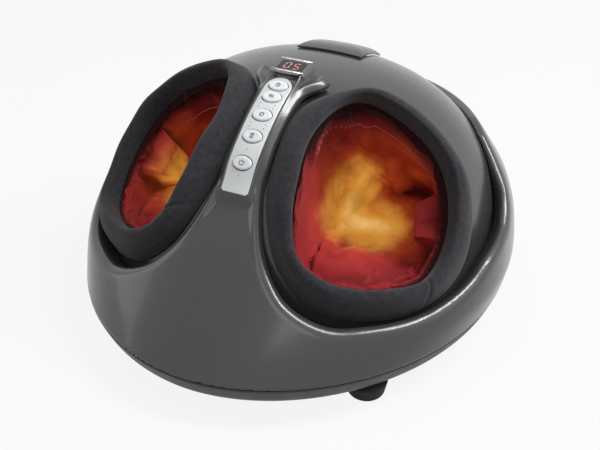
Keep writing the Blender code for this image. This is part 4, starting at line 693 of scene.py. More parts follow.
def tubes_mesh(name, tubes):
    """Closed tubes, each given by its rings of points in turn."""
    bm = bmesh.new()
    for rings in tubes:
        rows = [[bm.verts.new(point) for point in ring] for ring in rings]
        for low, high in zip(rows, rows[1:]):
            for corners in zip(low, low[1:] + low[:1], high[1:] + high[:1], high):
                bm.faces.new(corners)
        bm.faces.new(rows[0][::-1])
        bm.faces.new(rows[-1])
    bmesh.ops.recalc_face_normals(bm, faces=bm.faces)
    return mesh_from(name, bm)


# Materials
class Shading:
    """A material's nodes, made in turn and joined."""

    def __init__(self, name):
        self.made = bpy.data.materials.new(name)
        self.made.use_nodes = True
        self.tree = self.made.node_tree
        self.shader = self.tree.nodes["Principled BSDF"]
        self.place = self.node("ShaderNodeTexCoord").outputs["Object"]

    def node(self, kind, **values):
        made = self.tree.nodes.new(kind)
        for key, value in values.items():
            if hasattr(made, key):
                setattr(made, key, value)
            else:
                made.inputs[key.replace("_", " ").title()].default_value = value
        return made

    def join(self, output, target):
        self.tree.links.new(output, target)

    def noise(self, scale, detail=3.0):
        made = self.node("ShaderNodeTexNoise", Scale=scale, Detail=detail)
        self.join(self.place, made.inputs["Vector"])
        return made.outputs["Fac"]

    def ramp(self, source, stops):
        made = self.node("ShaderNodeValToRGB")
        elements = made.color_ramp.elements
        for element, (position, colour) in zip(elements, stops):
            element.position, element.color = position, (*colour, 1.0)
        for position, colour in stops[2:]:
            elements.new(position).color = (*colour, 1.0)
        self.join(source, made.inputs["Fac"])
        return made.outputs["Color"]

    def spread(self, source, low, high, start=0.3, end=0.7):
        made = self.node("ShaderNodeMapRange", From_Min=start, From_Max=end, To_Min=low, To_Max=high)
        self.join(source, made.inputs["Value"])
        return made.outputs["Result"]

    def bump(self, source, strength, distance, under=None):
        made = self.node("ShaderNodeBump", Strength=strength, Distance=distance)
        self.join(source, made.inputs["Height"])
        if under is not None:
            self.join(under, made.inputs["Normal"])
        return made.outputs["Normal"]

    def worked(self, kind, operation, *values):
        """Output of a node that reckons with outputs and plain values; None leaves an input alone."""
        made = self.node(kind, operation=operation)
        for target, value in zip(made.inputs, values):
            if isinstance(value, bpy.types.NodeSocket):
                self.join(value, target)
            elif value is not None:
                target.default_value = value
        return made.outputs["Vector" if operation == "SCALE" else "Value"]

    def dress(self, sources, levels):
        """Join outputs to the shader's inputs and set its plain values, both by the inputs' names."""
        for name, source in sources.items():
            self.join(source, self.shader.inputs[name])
        for name, level in levels.items():
            self.shader.inputs[name].default_value = level
        return self.made


def toned(colour, factor):
    return tuple(min(1.0, part * factor) for part in colour)


def moulded(name, colour, roughness, grain=0.15, metallic=0.0, spread=0.08, scale=35.0):
    """Moulded plastic, rubber or metal: slightly uneven tone and gloss over a fine grain."""
    made = Shading(name)
    tones = ((0.3, toned(colour, 1 - spread)), (0.7, toned(colour, 1 + spread)))
    return made.dress({"Base Color": made.ramp(made.noise(scale), tones),
                       "Roughness": made.spread(made.noise(3 * scale), roughness - 0.05, roughness + 0.05),
                       "Normal": made.bump(made.noise(1400.0, 2.0), grain, 0.00006)},
                      {"Metallic": metallic})


def painted(name, colour, roughness):
    """Metal-flake paint under a clear coat."""
    made = Shading(name)
    flakes = made.noise(2600.0, 1.0)
    tones = ((0.35, toned(colour, 0.95)), (0.68, toned(colour, 1.06)))
    return made.dress({"Base Color": made.ramp(flakes, tones),
                       "Roughness": made.spread(made.noise(90.0), roughness - 0.03, roughness + 0.03),
                       "Normal": made.bump(flakes, 0.02, 0.00005)},
                      {"Metallic": 0.10, "Specular IOR Level": 0.35, "Coat Weight": 0.45,
                       "Coat Roughness": 0.12})


def woven(name, colour, roughness=0.9):
    """Close knit: two crossed waves of yarn over a soft mottle."""
    made = Shading(name)
    tones = ((0.32, toned(colour, 0.75)), (0.68, toned(colour, 1.35)))
    waves = []
    for turn in (0.0, math.pi / 2):
        mapping = made.node("ShaderNodeMapping", Rotation=(0.6, 0.4, turn + 0.4))
        made.join(made.place, mapping.inputs["Vector"])
        wave = made.node("ShaderNodeTexWave", Scale=260.0, Distortion=1.5)
        made.join(mapping.outputs["Vector"], wave.inputs["Vector"])
        waves.append(wave.outputs["Fac"])
    under = made.bump(made.noise(70.0), 0.25, 0.0008)
    yarn = made.worked("ShaderNodeMath", "MULTIPLY", *waves)
    return made.dress({"Base Color": made.ramp(made.noise(260.0, 4.0), tones),
                       "Normal": made.bump(yarn, 0.28, 0.00025, under)},
                      {"Roughness": roughness, "Specular IOR Level": 0.25, "Sheen Weight": 0.12,
                       "Sheen Roughness": 0.5})


SHELL = painted("shell_paint", (0.046, 0.0463, 0.0450), 0.29)
BASE = moulded("base_plastic", (0.020, 0.020, 0.021), 0.5)
PANEL = moulded("panel_paint", (0.63, 0.65, 0.65), 0.4, 0.05, 0.15)
BOARD = moulded("board_lacquer", (0.02, 0.14, 0.05), 0.45, 0.1, spread=0.2, scale=90.0)
BUTTON = moulded("button_plastic", (0.80, 0.82, 0.83), 0.4, 0.05, spread=0.03)
BEZEL = moulded("bezel_paint", (0.15, 0.15, 0.155), 0.3, 0.05, 0.5)
WINDOW = moulded("window_plastic", (0.006, 0.004, 0.004), 0.12, 0.02)
MODULE = moulded("module_plastic", (0.07, 0.07, 0.075), 0.5)
CUFF = woven("cuff_knit", (0.027, 0.0262, 0.0305))
TUB = moulded("tub_plastic", (0.018, 0.018, 0.018), 0.6)
BAG = moulded("bag_film", (0.26, 0.26, 0.27), 0.35, 0.3, spread=0.12)
NYLON = moulded("nylon", (0.60, 0.58, 0.53), 0.5, 0.1)
STEEL = moulded("steel", (0.50, 0.50, 0.51), 0.3, 0.1, 1.0, scale=120.0)
RUBBER = moulded("foot_rubber", (0.022, 0.022, 0.022), 0.85, 0.4)
MARK = moulded("mark_ink", (0.13, 0.135, 0.14), 0.6, 0.02)
# Painted shade: a dark sheet under the panel, seen as shadow through the gaps round the buttons
PAINTED_SHADOW_SHEET = moulded("shadow_plastic", (0.03, 0.03, 0.031), 0.6)
PAD_RED = moulded("pad_cloth", (0.30, 0.02, 0.015), 0.8, 0.4)
THREAD = moulded("thread", (0.55, 0.20, 0.17), 0.8, 0.1)
SLOT_MATERIALS = {
    "shell_grey": SHELL, "base_black": BASE, "panel_grey": PANEL, "board_green": BOARD,
    "button_white": BUTTON, "bezel_silver": BEZEL, "window_black": WINDOW, "module_grey": MODULE,
    "cuff_fabric": CUFF, "tub_black": TUB, "bag_grey": BAG, "nylon": NYLON, "steel": STEEL,
    "foot_rubber": RUBBER, "liner_fabric": PAD_RED}


def dress_carried_nodes():
    """Every CAD node takes the material of its slot."""
    for part in frame["record"]["subparts"]:
        target = frame["nodes"][part["node"]]
        target.data.materials.clear()
        target.data.materials.append(SLOT_MATERIALS[part["material_slot"]])


# Front shell


def make_front_shell(crest_map):
    axes = grid_axes(SHELL_GRID)
    x, y, z = box_grid(axes, np.float32)
    edge, depth = from_outline(crest_map, axes)
    skirt = skirt_field(axes) - console_lift(edge, x, y)
    slope = (LIP_WIDTH * skirt - LIP_DROP * edge) / math.hypot(LIP_WIDTH, LIP_DROP)
    lip = smooth_max(slope, -(edge + LIP_WIDTH), LIP_JOIN)
    lip = smooth_min(lip, depth - WELL_DEPTH, WELL_JOIN)
    solid = smooth_max(skirt, lip, LIP_ROUND)
    line_y, line_z = np.array(REAR_LINE).T
    rear = np.minimum(y - line_y[0], z - np.interp(y, line_y, line_z).astype(np.float32))
    solid = smooth_max(solid, rear, REAR_JOIN)
    half_x, middle, half_y = CONSOLE_BACKED
    wall = SHELL_WALL + CONSOLE_BACKING * ((x < half_x) & (np.abs(y - middle) < half_y))
    shell = np.maximum(solid, -(solid + wall))
    del solid, slope, lip, edge, depth, skirt
    shell = np.maximum(shell, (SKIRT_BOTTOM + SHELL_FOOT_GAP) - z)
    shell = np.maximum(shell, SHELL_DOME_GAP - dome_field(axes))
    for half_x, front, rear in CONTROL_CUTS:
        shell = np.maximum(shell, np.minimum(np.minimum(half_x - x, y - front), rear - y))
    half_x, middle, half_z, front = INLET_CUT
    inlet = np.maximum(np.maximum(x - half_x, np.abs(z - middle) - half_z), front - y)
    shell = np.maximum(shell, -inlet)
    show("shell_front", mirrored_mesh("front_shell", shell, axes), SHELL, ("front_shell",))


def console_lift(edge, x, y):
    """How far the ridge stands over the skirt: raised console, bands sunk beside it, level lip."""
    away = np.hypot(np.maximum(np.abs(x) - PANEL_HALF_WIDTH, 0.0),
                    CONSOLE_AHEAD * np.maximum(PANEL_FRONT - y, 0.0))
    rise = 1 - eased((away - CONSOLE_RIM) / CONSOLE_BEVEL)
    sunk = (1 - rise) * eased((edge - LIP_LEVEL) / LIP_SLOPE)
    ridge = eased((CONSOLE_REACH - np.abs(x)) / CONSOLE_FADE) * eased((CONSOLE_END - y) / CONSOLE_RUN)
    ahead = eased((y - PANEL_FRONT + CONSOLE_RUN) / CONSOLE_RUN)
    return (ridge * (rise * CONSOLE_RISE - sunk * ahead * CONSOLE_SINK)).astype(np.float32)


def eased(share):
    share = np.clip(share, 0.0, 1.0)
    return share * share * (3 - 2 * share)


def make_dome(opening_map):
    axes = grid_axes(DOME_GRID)
    x, y, z = box_grid(axes, np.float32)
    dome = dome_field(axes)
    shell = np.maximum(dome, -(dome + DOME_WALL))
    edge, depth = from_outline(opening_map, axes)
    shell = smooth_max(shell, np.minimum(-edge, depth - MOUTH_DEPTH), MOUTH_JOIN)
    half_x, middle, half_y, low = GRIP_CUT
    cup = np.maximum(np.abs(x) - half_x, np.abs(y - middle) - half_y)
    shell = np.maximum(shell, np.minimum(-cup, z - low))
    shell = np.maximum(shell, DOME_FOOT - z)
    show("shell_dome", mirrored_mesh("dome_shell", shell, axes), SHELL, ("dome_shell",))


def make_tray():
    axes = grid_axes(TRAY_GRID)
    x, y, z = box_grid(axes, np.float32)
    plan = skirt_value(x, y, np.float64(SKIRT_BOTTOM))
    plan = (plan / slope_of(plan[..., 0], axes[:2])[..., None]).astype(np.float32)
    share = np.clip((z - TRAY_BOTTOM) / (TRAY_TOP - TRAY_BOTTOM), 0.0, 1.0)
    outer = plan + (TRAY_DRAW * (1 - share ** TRAY_POWER) + TRAY_INSET)
    solid = smooth_max(outer, TRAY_BOTTOM - z, TRAY_ROUND)
    solid = np.maximum(solid, z - TRAY_TOP)
    tray = np.maximum(solid, -np.maximum(outer + TRAY_WALL, TRAY_FLOOR - z))
    for place_x, place_y in SCREW_PLACES:
        hole = np.maximum(np.hypot(x - place_x, y - place_y) - SCREW_HOLE, z - SCREW_HOLE_TOP)
        tray = np.maximum(tray, -hole)
    show("base_tray_fine", mirrored_mesh("base_tray", tray, axes), BASE, ("base_tray",))


# Controls
def bent_to_ridge(points):
    """Flat panel points, across, along and up, laid over the ridge."""
    x, along, lift = points.T
    ys = np.linspace(*RIDGE_LINE)
    heights = ridge_height(ys)
    run = np.concatenate([[0.0], np.cumsum(np.hypot(np.diff(ys), np.diff(heights)))])
    run -= np.interp(PANEL_FRONT, ys, run)
    y = np.interp(along, run, ys)
    z = np.interp(y, ys, heights)
    slope = np.interp(y, ys, np.gradient(heights, ys))
    long = np.hypot(1.0, slope)
    lift = lift - x * x * ridge_curve(y)
    return np.stack([x, y - slope / long * lift, z + lift / long], 1)


def ridge_curve(y):
    """How fast the skirt falls away to either side of the ridge line."""
    levels = np.linspace(RIDGE_TOP, SKIRT_BOTTOM, 900)
    marks = np.linspace(PANEL_FRONT, PANEL_REAR, 12)
    falls = [ridge_height(mark) - levels[np.argmax(skirt_value(CURVE_SIDE, mark, levels) < 0)]
             for mark in marks]
    slopes = np.gradient(ridge_height(marks), marks)
    return np.interp(y, marks, np.array(falls) / np.hypot(1.0, slopes)) / CURVE_SIDE ** 2


def run_length(y):
    ys = np.linspace(PANEL_FRONT, y, 200)
    return float(np.sum(np.hypot(np.diff(ys), np.diff(ridge_height(ys)))))


def panel_distance(x, along):
    """Signed distance in the plane from the panel's outline: small corners in front, a half circle behind."""
    length = run_length(PANEL_REAR)
    round_centre = length - PANEL_HALF_WIDTH
    rear = np.where(along > round_centre, np.hypot(x, along - round_centre) - PANEL_HALF_WIDTH,
                    np.abs(x) - PANEL_HALF_WIDTH)
    corner_x = np.abs(x) - (PANEL_HALF_WIDTH - PANEL_CORNER)
    corner_y = PANEL_CORNER - along
    front = np.hypot(np.maximum(corner_x, 0), np.maximum(corner_y, 0)) - PANEL_CORNER
    front = front + np.minimum(np.maximum(corner_x, corner_y), 0.0)
    return np.maximum(rear, front)


def oval_distance(x, y, half_width, half_height):
    value = np.hypot(x / half_width, y / half_height)
    slope = np.hypot(x / half_width ** 2, y / half_height ** 2) / np.maximum(value, 1e-9)
    return (value - 1) / np.maximum(slope, 1e-9)


def make_panel():
    length = run_length(PANEL_REAR)
    axes = grid_axes((((-PANEL_GRID_SIDE, PANEL_CELL), (PANEL_GRID_SIDE, 0)),
                      ((-0.0014, PANEL_CELL), (length + 0.0014, 0)), ((-0.0004, 0.00014), (0.0026, 0))))
    x, along, lift = box_grid(axes)
    outline = panel_distance(x, along)
    for y in BUTTON_YS:
        hole = oval_distance(x, along - run_length(y), BUTTON_HALF_WIDTH + BUTTON_GAP,
                             BUTTON_HALF_HEIGHT + BUTTON_GAP)
        outline = np.maximum(outline, -hole)
    level = np.abs(lift - (PANEL_LOW + PANEL_HIGH) / 2) - (PANEL_HIGH - PANEL_LOW) / 2
    solid = smooth_max(outline + 0 * lift, level, PANEL_ROUND)
    points, faces = surface_net(solid, axes)
    points = evened(points, faces, solid, axes, 1, 0.0002)
    show("panel_plate", quad_mesh("panel_plate", bent_to_ridge(points), faces), PANEL, ("control_panel",),
         sharp=50)
    columns, rows = BED_COUNTS
    x, along = np.meshgrid(np.linspace(-BED_HALF_WIDTH, BED_HALF_WIDTH, columns),
                           np.linspace(BED_MARGIN, length - BED_MARGIN, rows), indexing="ij")
    past = (along - length + PANEL_HALF_WIDTH) / PANEL_HALF_WIDTH
    x = x * np.where(along > length - PANEL_HALF_WIDTH, np.sqrt(np.maximum(0.02, 1 - past ** 2)), 1.0)
    bed = np.column_stack([x.ravel(), along.ravel(), np.full(x.size, PANEL_LOW - BED_DROP)])
    faces = ring_faces(columns, rows, closed_columns=False)[:, ::-1]
    # dark sheet of painted shade under the panel plate
    show("panel_bed", quad_mesh("panel_bed", bent_to_ridge(bed), faces), PAINTED_SHADOW_SHEET)


def make_buttons():
    for number, (y, strokes) in enumerate(zip(BUTTON_YS, BUTTON_SIGNS), 1):
        place = ridge_frame(y)
        rings = [placed(place, oval(BUTTON_HALF_WIDTH + growth, BUTTON_HALF_HEIGHT + growth, 72), height)
                 for growth, height in BUTTON_PROFILE]
        show(f"button_cap_{number}", loft_mesh(f"button_cap_{number}", rings), BUTTON, (f"button_{number}",),
             f"button_{number}", 40)
        show(f"button_sign_{number}", strokes_mesh(f"button_sign_{number}", strokes, place, BUTTON_TOP),
             MARK, body=f"button_{number}")


def arc(radius, start, end, centre=(0.0, 0.0), count=14):
    turns = np.radians(np.linspace(start, end, count))
    return [(centre[0] + radius * math.cos(t), centre[1] + radius * math.sin(t)) for t in turns]


def wave(x, y, width, height, count=12):
    steps = np.linspace(0, 1, count)
    return [(x + width * math.sin(math.tau * s), y + height * (s - 0.5)) for s in steps]


STROKE = 0.00030
BUTTON_SIGNS = (
    (arc(0.0018, 0, 360), [(0.0, 0.0012), (0.0, 0.0), (0.0009, -0.0004)]),
    (wave(-0.0014, 0.0, 0.0005, 0.0030), wave(0.0, 0.0, 0.0005, 0.0034), wave(0.0014, 0.0, 0.0005, 0.0030)),
    (arc(0.0016, 20, 170), arc(0.0016, 200, 350), [(0.0016, 0.0012), (0.0015, 0.0003), (0.0006, 0.0006)],
     [(-0.0016, -0.0012), (-0.0015, -0.0003), (-0.0006, -0.0006)]),
    (arc(0.0010, 0, 360), arc(0.0021, 40, 140), arc(0.0021, 220, 320)),
    (arc(0.0019, 125, 415), [(0.0, 0.0023), (0.0, 0.0006)]))


def strokes_mesh(name, strokes, place, lift, half=STROKE, thick=0.00008):
    """Thin raised lines on a face."""
    tubes = []
    for stroke in strokes:
        line = np.array(stroke, float)
        ahead = np.gradient(line, axis=0)
        normal = np.stack([-ahead[:, 1], ahead[:, 0]], 1)
        normal /= np.maximum(np.linalg.norm(normal, axis=1, keepdims=True), 1e-12)
        edges = [placed(place, line + side * half * normal, lift + height)
                 for side, height in ((-1, -thick), (-1, thick), (1, thick), (1, -thick))]
        tubes.append(np.stack(edges, 1))
    return tubes_mesh(name, tubes)


def rounded_box(half_x, half_y, radius, steps=6):
    points = []
    for quarter, (sx, sy) in enumerate(((1, 1), (-1, 1), (-1, -1), (1, -1))):
        for step in range(steps + 1):
            turn = math.pi / 2 * (quarter + step / steps)
            points.append((sx * (half_x - radius) + radius * math.cos(turn),
                           sy * (half_y - radius) + radius * math.sin(turn)))
    return np.array(points)


def placed_rings(place, layers):
    return [placed(place, rounded_box(wide, long, DISPLAY_CORNER), height) for wide, long, height in layers]


def make_display():
    front, rear = (Vector((0.0, y, float(ridge_height(y)))) for y in (DISPLAY_FRONT, DISPLAY_REAR))
    place, half = slope_frame(rear - front, (front + rear) / 2), (rear - front).length / 2
    inner_x, inner_y = WINDOW_HALF_WIDTH, half - DISPLAY_RIM
    wide = DISPLAY_HALF_WIDTH
    layers = ((wide, half, -DISPLAY_FOOT), (wide, half, 0.0012), (wide - 0.0004, half - 0.0003, 0.0018),
              (wide - 0.0010, half - 0.0008, DISPLAY_RISE), (wide - 0.0012, half - 0.0024, DISPLAY_RISE),
              (inner_x + 0.0002, inner_y + 0.0002, 0.0025), (inner_x, inner_y, 0.0022),
              (inner_x, inner_y, -DISPLAY_FOOT))
    mesh = loft_mesh("display_frame", placed_rings(place, layers), closed=True, flip=True)
    show("display_frame", mesh, BEZEL, ("display_bezel",), sharp=35)
    pane = [(inner_x - PANE_GAP, inner_y - PANE_GAP, height) for height in (PANE_FOOT, PANE_TOP)]
    show("display_pane", loft_mesh("display_pane", placed_rings(place, pane)), WINDOW, ("display_window",),
         sharp=35)
    for sign in (-1, 1):
        bar = [(x, sign * (half - STRIP_INSET)) for x in (-STRIP_HALF_LENGTH, STRIP_HALF_LENGTH)]
        name = f"display_strip_{sign + 1}"
        show(name, strokes_mesh(name, [bar], place, DISPLAY_RISE, STRIP_HALF_WIDTH, STRIP_THICK), BRIGHT)
    digits = seven_segments(-DIGIT_SHIFT, "abcdef") + seven_segments(DIGIT_SHIFT, "afgcd")
    show("display_digits", strokes_mesh("display_digits", digits, place, PANE_TOP, DIGIT_STROKE), DIGIT)


def seven_segments(shift, lit):
    """Strokes of one numeral, leaning a little."""
    corners = {"a": ((-1, 1), (1, 1)), "b": ((1, 1), (1, 0)), "c": ((1, 0), (1, -1)),
               "d": ((-1, -1), (1, -1)), "e": ((-1, 0), (-1, -1)), "f": ((-1, 1), (-1, 0)),
               "g": ((-1, 0), (1, 0))}
    wide, high = DIGIT_SIZE
    strokes = []
    for name in lit:
        start, end = (np.array(point, float) for point in corners[name])
        gap = DIGIT_GAP * (end - start)
        strokes.append([(shift + wide * x + DIGIT_LEAN * high * y, high * y)
                        for x, y in (start + gap, end - gap)])
    return strokes


def lamp_material(name, colour, strength):
    made = Shading(name)
    tone = made.ramp(made.noise(900.0), ((0.2, toned(colour, 0.8)), (0.8, colour)))
    return made.dress({"Base Color": tone, "Emission Color": tone}, {"Emission Strength": strength})


LED = lamp_material("led_red", (0.80, 0.10, 0.09), 0.5)
DIGIT = lamp_material("digit_red", (0.90, 0.34, 0.28), 0.75)
BRIGHT = moulded("bright_strip", (0.75, 0.76, 0.77), 0.22, 0.02, 0.9)


def dot_mesh(name, places, radius, sides=14):
    """Small domed dots on the panel: across and along."""
    bm = bmesh.new()
    for x, along in places:
        rows = []
        for share, height in ((1.0, -0.0001), (1.0, 0.0), (0.7, 0.00014)):
            flat = oval(share * radius, share * radius, sides) + (x, along)
            rows.append([bm.verts.new(point) for point in
                         bent_to_ridge(np.column_stack([flat, np.full(sides, PANEL_HIGH + height)]))])
        top = bm.verts.new(bent_to_ridge(np.array([[x, along, PANEL_HIGH + 0.0002]]))[0])
        for k in range(sides):
            follow = (k + 1) % sides
            for low, high in zip(rows, rows[1:]):
                bm.faces.new((low[k], low[follow], high[follow], high[k]))
            bm.faces.new((rows[-1][k], rows[-1][follow], top))
        bm.faces.new(rows[0][::-1])
    return mesh_from(name, bm)


def make_marks():
    y5, y4, y3, y2 = (run_length(y) for y in BUTTON_YS[:0:-1])
    show("panel_leds", dot_mesh("panel_leds", ((0.0, (y5 + y4) / 2), (0.0, y5 - LED_AHEAD)), LED_RADIUS), LED)
    half_x, half_y = DOT_PLACES
    small = [(dx, middle + dy) for middle in ((y4 + y3) / 2, (y3 + y2) / 2)
             for dx in (-half_x, half_x) for dy in (-half_y, half_y)]
    show("panel_dots", dot_mesh("panel_dots", small, DOT_RADIUS), MARK)


# Cuffs
def make_cuff(side_word, side):
    count, across = CUFF_COUNTS
    edge, hole = (opening_outline(shares, count) for shares in (CUFF_EDGE_SHARES, HOLE_EDGE_SHARES))
    width = np.linalg.norm(edge - hole, axis=1, keepdims=True)
    way = (edge - hole) / width
    turns = (1 - np.cos(np.linspace(0, math.pi, across))) / 2
    heights = smooth_through(*zip(*CUFF_SECTION_SHARES), turns)
    rings = [on_dome(hole) - drop * OUTWARD for drop in (CUFF_TUCK, CUFF_TUCK / 2)]
    phase = math.tau * np.arange(count) / count
    for share, height in zip(turns, heights):
        base = on_dome(hole + share * width * way)
        swell = (1 + CUFF_SWELL * np.sin(CUFF_SWELLS * phase + CUFF_SWELL_START) * math.sin(math.pi * share)
                 + CUFF_RIPPLE * np.sin(CUFF_RIPPLES * phase))
        off = np.angle(np.exp(1j * (phase - CUFF_SEAMS[side_word] - SEAM_SLANT * share)))
        swell = (swell - SEAM_DEPTH * np.exp(-(off / SEAM_WIDTH) ** 2)
                 + SEAM_RIDGE * np.exp(-((np.abs(off) - SEAM_RIDGE_OFF) / SEAM_RIDGE_WIDTH) ** 2))
        rings.append(base + (CUFF_CROWN * height * swell)[:, None] * OUTWARD)
    for line in (edge, hole + CUFF_FLANGE * way):
        under = on_dome(line)
        rings.append(under + CUFF_SEAT * dome_normals(under))
    rings.append(under - CUFF_TUCK * OUTWARD)
    rings = np.array(rings) * np.array([side, 1.0, 1.0])
    mesh = loft_mesh(f"cuff_{side_word}", rings, closed=True, flip=side < 0)
    made = show(f"cuff_pad_{side_word}", mesh, CUFF, (f"cuff_{side_word}",))


# Liners
def floor_ring(hole):
    """Edge of the pocket's floor, one point below each point of the opening."""
    middle = hole.mean(axis=0)
    turns = np.arctan2(hole[:, 1] - middle[1], hole[:, 0] - middle[0]) + OPENING_AZIMUTH
    cos, sin = np.cos(turns), np.sin(turns)
    scale = (np.abs(cos / POCKET_HALF_WIDTH) ** POCKET_EXPONENT
             + np.abs(sin / POCKET_HALF_LENGTH) ** POCKET_EXPONENT) ** (-1 / POCKET_EXPONENT)
    return np.stack([POCKET_CENTRE[0] + cos * scale, POCKET_CENTRE[1] + sin * scale,
                     POCKET_FLOOR + 0 * cos], -1)


def lattice_noise(points, seed):
    """Smooth noise between 0 and 1 over points in space."""
    base = np.floor(points).astype(int)
    t = eased(points - base)
    table = np.random.default_rng(seed).random(4096)
    total = 0.0
    for step in np.ndindex(2, 2, 2):
        i, j, k = np.moveaxis(base + step, -1, 0)
        key = (i * 73856093 ^ j * 19349663 ^ k * 83492791) % 4096
        total = total + table[key] * np.where(step, t, 1 - t).prod(axis=-1)
    return total


def draped(made, held, growth, frames):
    """Let a sheet crease as cloth: it grows by a share of its size between the points that hold it."""
    group = made.vertex_groups.new(name="held")
    levels = np.round(held * HELD_LEVELS).astype(int)
    for level in np.unique(levels[levels > 0]):
        group.add(np.flatnonzero(levels == level).tolist(), float(level) / HELD_LEVELS, "REPLACE")
    cloth = made.modifiers.new("drape", "CLOTH")
    for key, value in CLOTH.items():
        setattr(cloth.settings, key, value)
    cloth.settings.vertex_group_mass = "held"
    cloth.settings.shrink_min = -growth
    cloth.settings.effector_weights.gravity = 0.0
    cloth.point_cache.frame_start, cloth.point_cache.frame_end = 1, frames
    scene = bpy.context.scene
    for number in range(1, frames + 1):
        scene.frame_set(number)
    settled = made.evaluated_get(bpy.context.evaluated_depsgraph_get()).data
    points = np.empty(3 * len(settled.vertices))
    settled.vertices.foreach_get("co", points)
    made.modifiers.remove(cloth)
    made.vertex_groups.clear()
    scene.frame_set(1)
    return points.reshape(-1, 3)


def liner_base(count, down, inward):
    """The smooth pocket that the cloth lies in: rows from the mouth to the floor and on to its middle."""
    hole = opening_outline(HOLE_EDGE_SHARES, count)
    middle = hole.mean(axis=0)
    rim = middle + (hole - middle) * (1 + LINER_TUCK)
    start, end = on_dome(rim) - LINER_START * OUTWARD, floor_ring(hole)
    bend = start - POCKET_REACH * OUTWARD
    share = np.linspace(0.0, 1.0, down)[:, None, None]
    wall = (1 - share) ** 2 * start + 2 * share * (1 - share) * bend + share * share * end
    centre = np.array([*POCKET_CENTRE, POCKET_FLOOR])
    steps = np.linspace(0.0, 0.995, inward)[1:, None, None]
    grid = np.concatenate([wall, end * (1 - steps) + centre * steps])
    place = np.concatenate([share[:, 0, 0], 1 + steps[:, 0, 0]])[:, None]
    around = np.roll(grid, -1, axis=1) - np.roll(grid, 1, axis=1)
    inward_way = np.cross(around, np.gradient(grid, axis=0))
    inward_way /= np.maximum(np.linalg.norm(inward_way, axis=2, keepdims=True), 1e-12)
    if ((centre + (0, 0, 0.03) - grid) * inward_way).sum() < 0:
        inward_way = -inward_way
    return grid, inward_way, place


def backing(nodes, points, ways, reach):
    """How far the CAD nodes behind a sheet stand in over each of its points, along the given ways."""
    corners, faces = [], []
    for name in nodes:
        made = frame["nodes"][name]
        faces += [[len(corners) + number for number in face.vertices] for face in made.data.polygons]
        corners += [made.matrix_world @ corner.co for corner in made.data.vertices]
    tree = BVHTree.FromPolygons(corners, faces)
    over = np.full(len(points), -reach)
    for number, (point, way) in enumerate(zip(points, ways)):
        hit = tree.ray_cast(Vector(point + reach * way), Vector(-way), 2 * reach)
        if hit[0] is not None:
            over[number] = reach - hit[3]
    return over


def blurred(values, rounds):
    """Values on a grid closed around, evened out between neighbours."""
    for _ in range(rounds):
        values = (2 * values + np.roll(values, 1, axis=1) + np.roll(values, -1, axis=1)) / 4
        padded = np.concatenate([values[:1], values, values[-1:]])
        values = (2 * values + padded[:-2] + padded[2:]) / 4
    return values


def liner_painted_shade(place, turn, height):
    """Share of its full colour at each point of a liner: painted shade, low under the cuff and in the valleys
    of folds.
    """
    turns, bands = (np.array(values) for values in zip(*PAINTED_SHADE_BAND))
    band = np.interp(turn, turns, bands, period=1.0)
    # painted shade under the cuff, reaching down from the rim as far as the band
    rim = PAINTED_SHADE_LEAST + (1 - PAINTED_SHADE_LEAST) * eased((place - 0.35 * band) / (0.75 * band))
    # painted shade in the valleys of folds and painted light on their crests
    relief = height - blurred(height, PAINTED_SHADE_ROUNDS)
    return np.clip(rim * np.clip(1 + PAINTED_SHADE_RELIEF * relief, 0.40, 1.20), 0.0, 1.0)


def liner_bulge(side_word, base, place, phase, over):
    """How far the cloth has to stand in from the smooth pocket, and how far it does before it drapes."""
    warp, fine = (lattice_noise(base / size, seed) - 0.5
                  for size, seed in zip(LINER_NOISE_SIZES, LINER_SEEDS[side_word]))
    depth = np.sin(math.pi * np.clip(place * 0.66, 0, 1)) ** 0.7
    pleats = (0.5 + 0.5 * np.sin(LINER_PLEATS * phase + 5.0 * warp)) * np.clip(1.3 - place, 0.15, 1.0)
    backed = np.where(over < LINER_BACKED_MOST, over + LINER_BACKING, 0.0)
    least = np.maximum(LINER_CLEARANCE * np.clip(place / 0.05, 0.0, 1.0),
                       blurred(backed * np.clip((place - 0.01) / 0.02, 0, 1), 2))
    off = np.abs((phase / math.tau - POUCH_TURN + 0.5) % 1.0 - 0.5)
    pouch = ((1 - eased((off - POUCH_HALF_TURN) / POUCH_TURN_EDGE))
             * (1 - eased((np.abs(place - POUCH_PLACE) - POUCH_HALF_PLACE) / POUCH_PLACE_EDGE)))
    bulge = least + depth * (LINER_PUFF * (1 + LINER_UNEVEN * warp) + LINER_PLEAT * pleats
                             + LINER_FINE * fine)
    return least, bulge + POUCH_SWELL * pouch


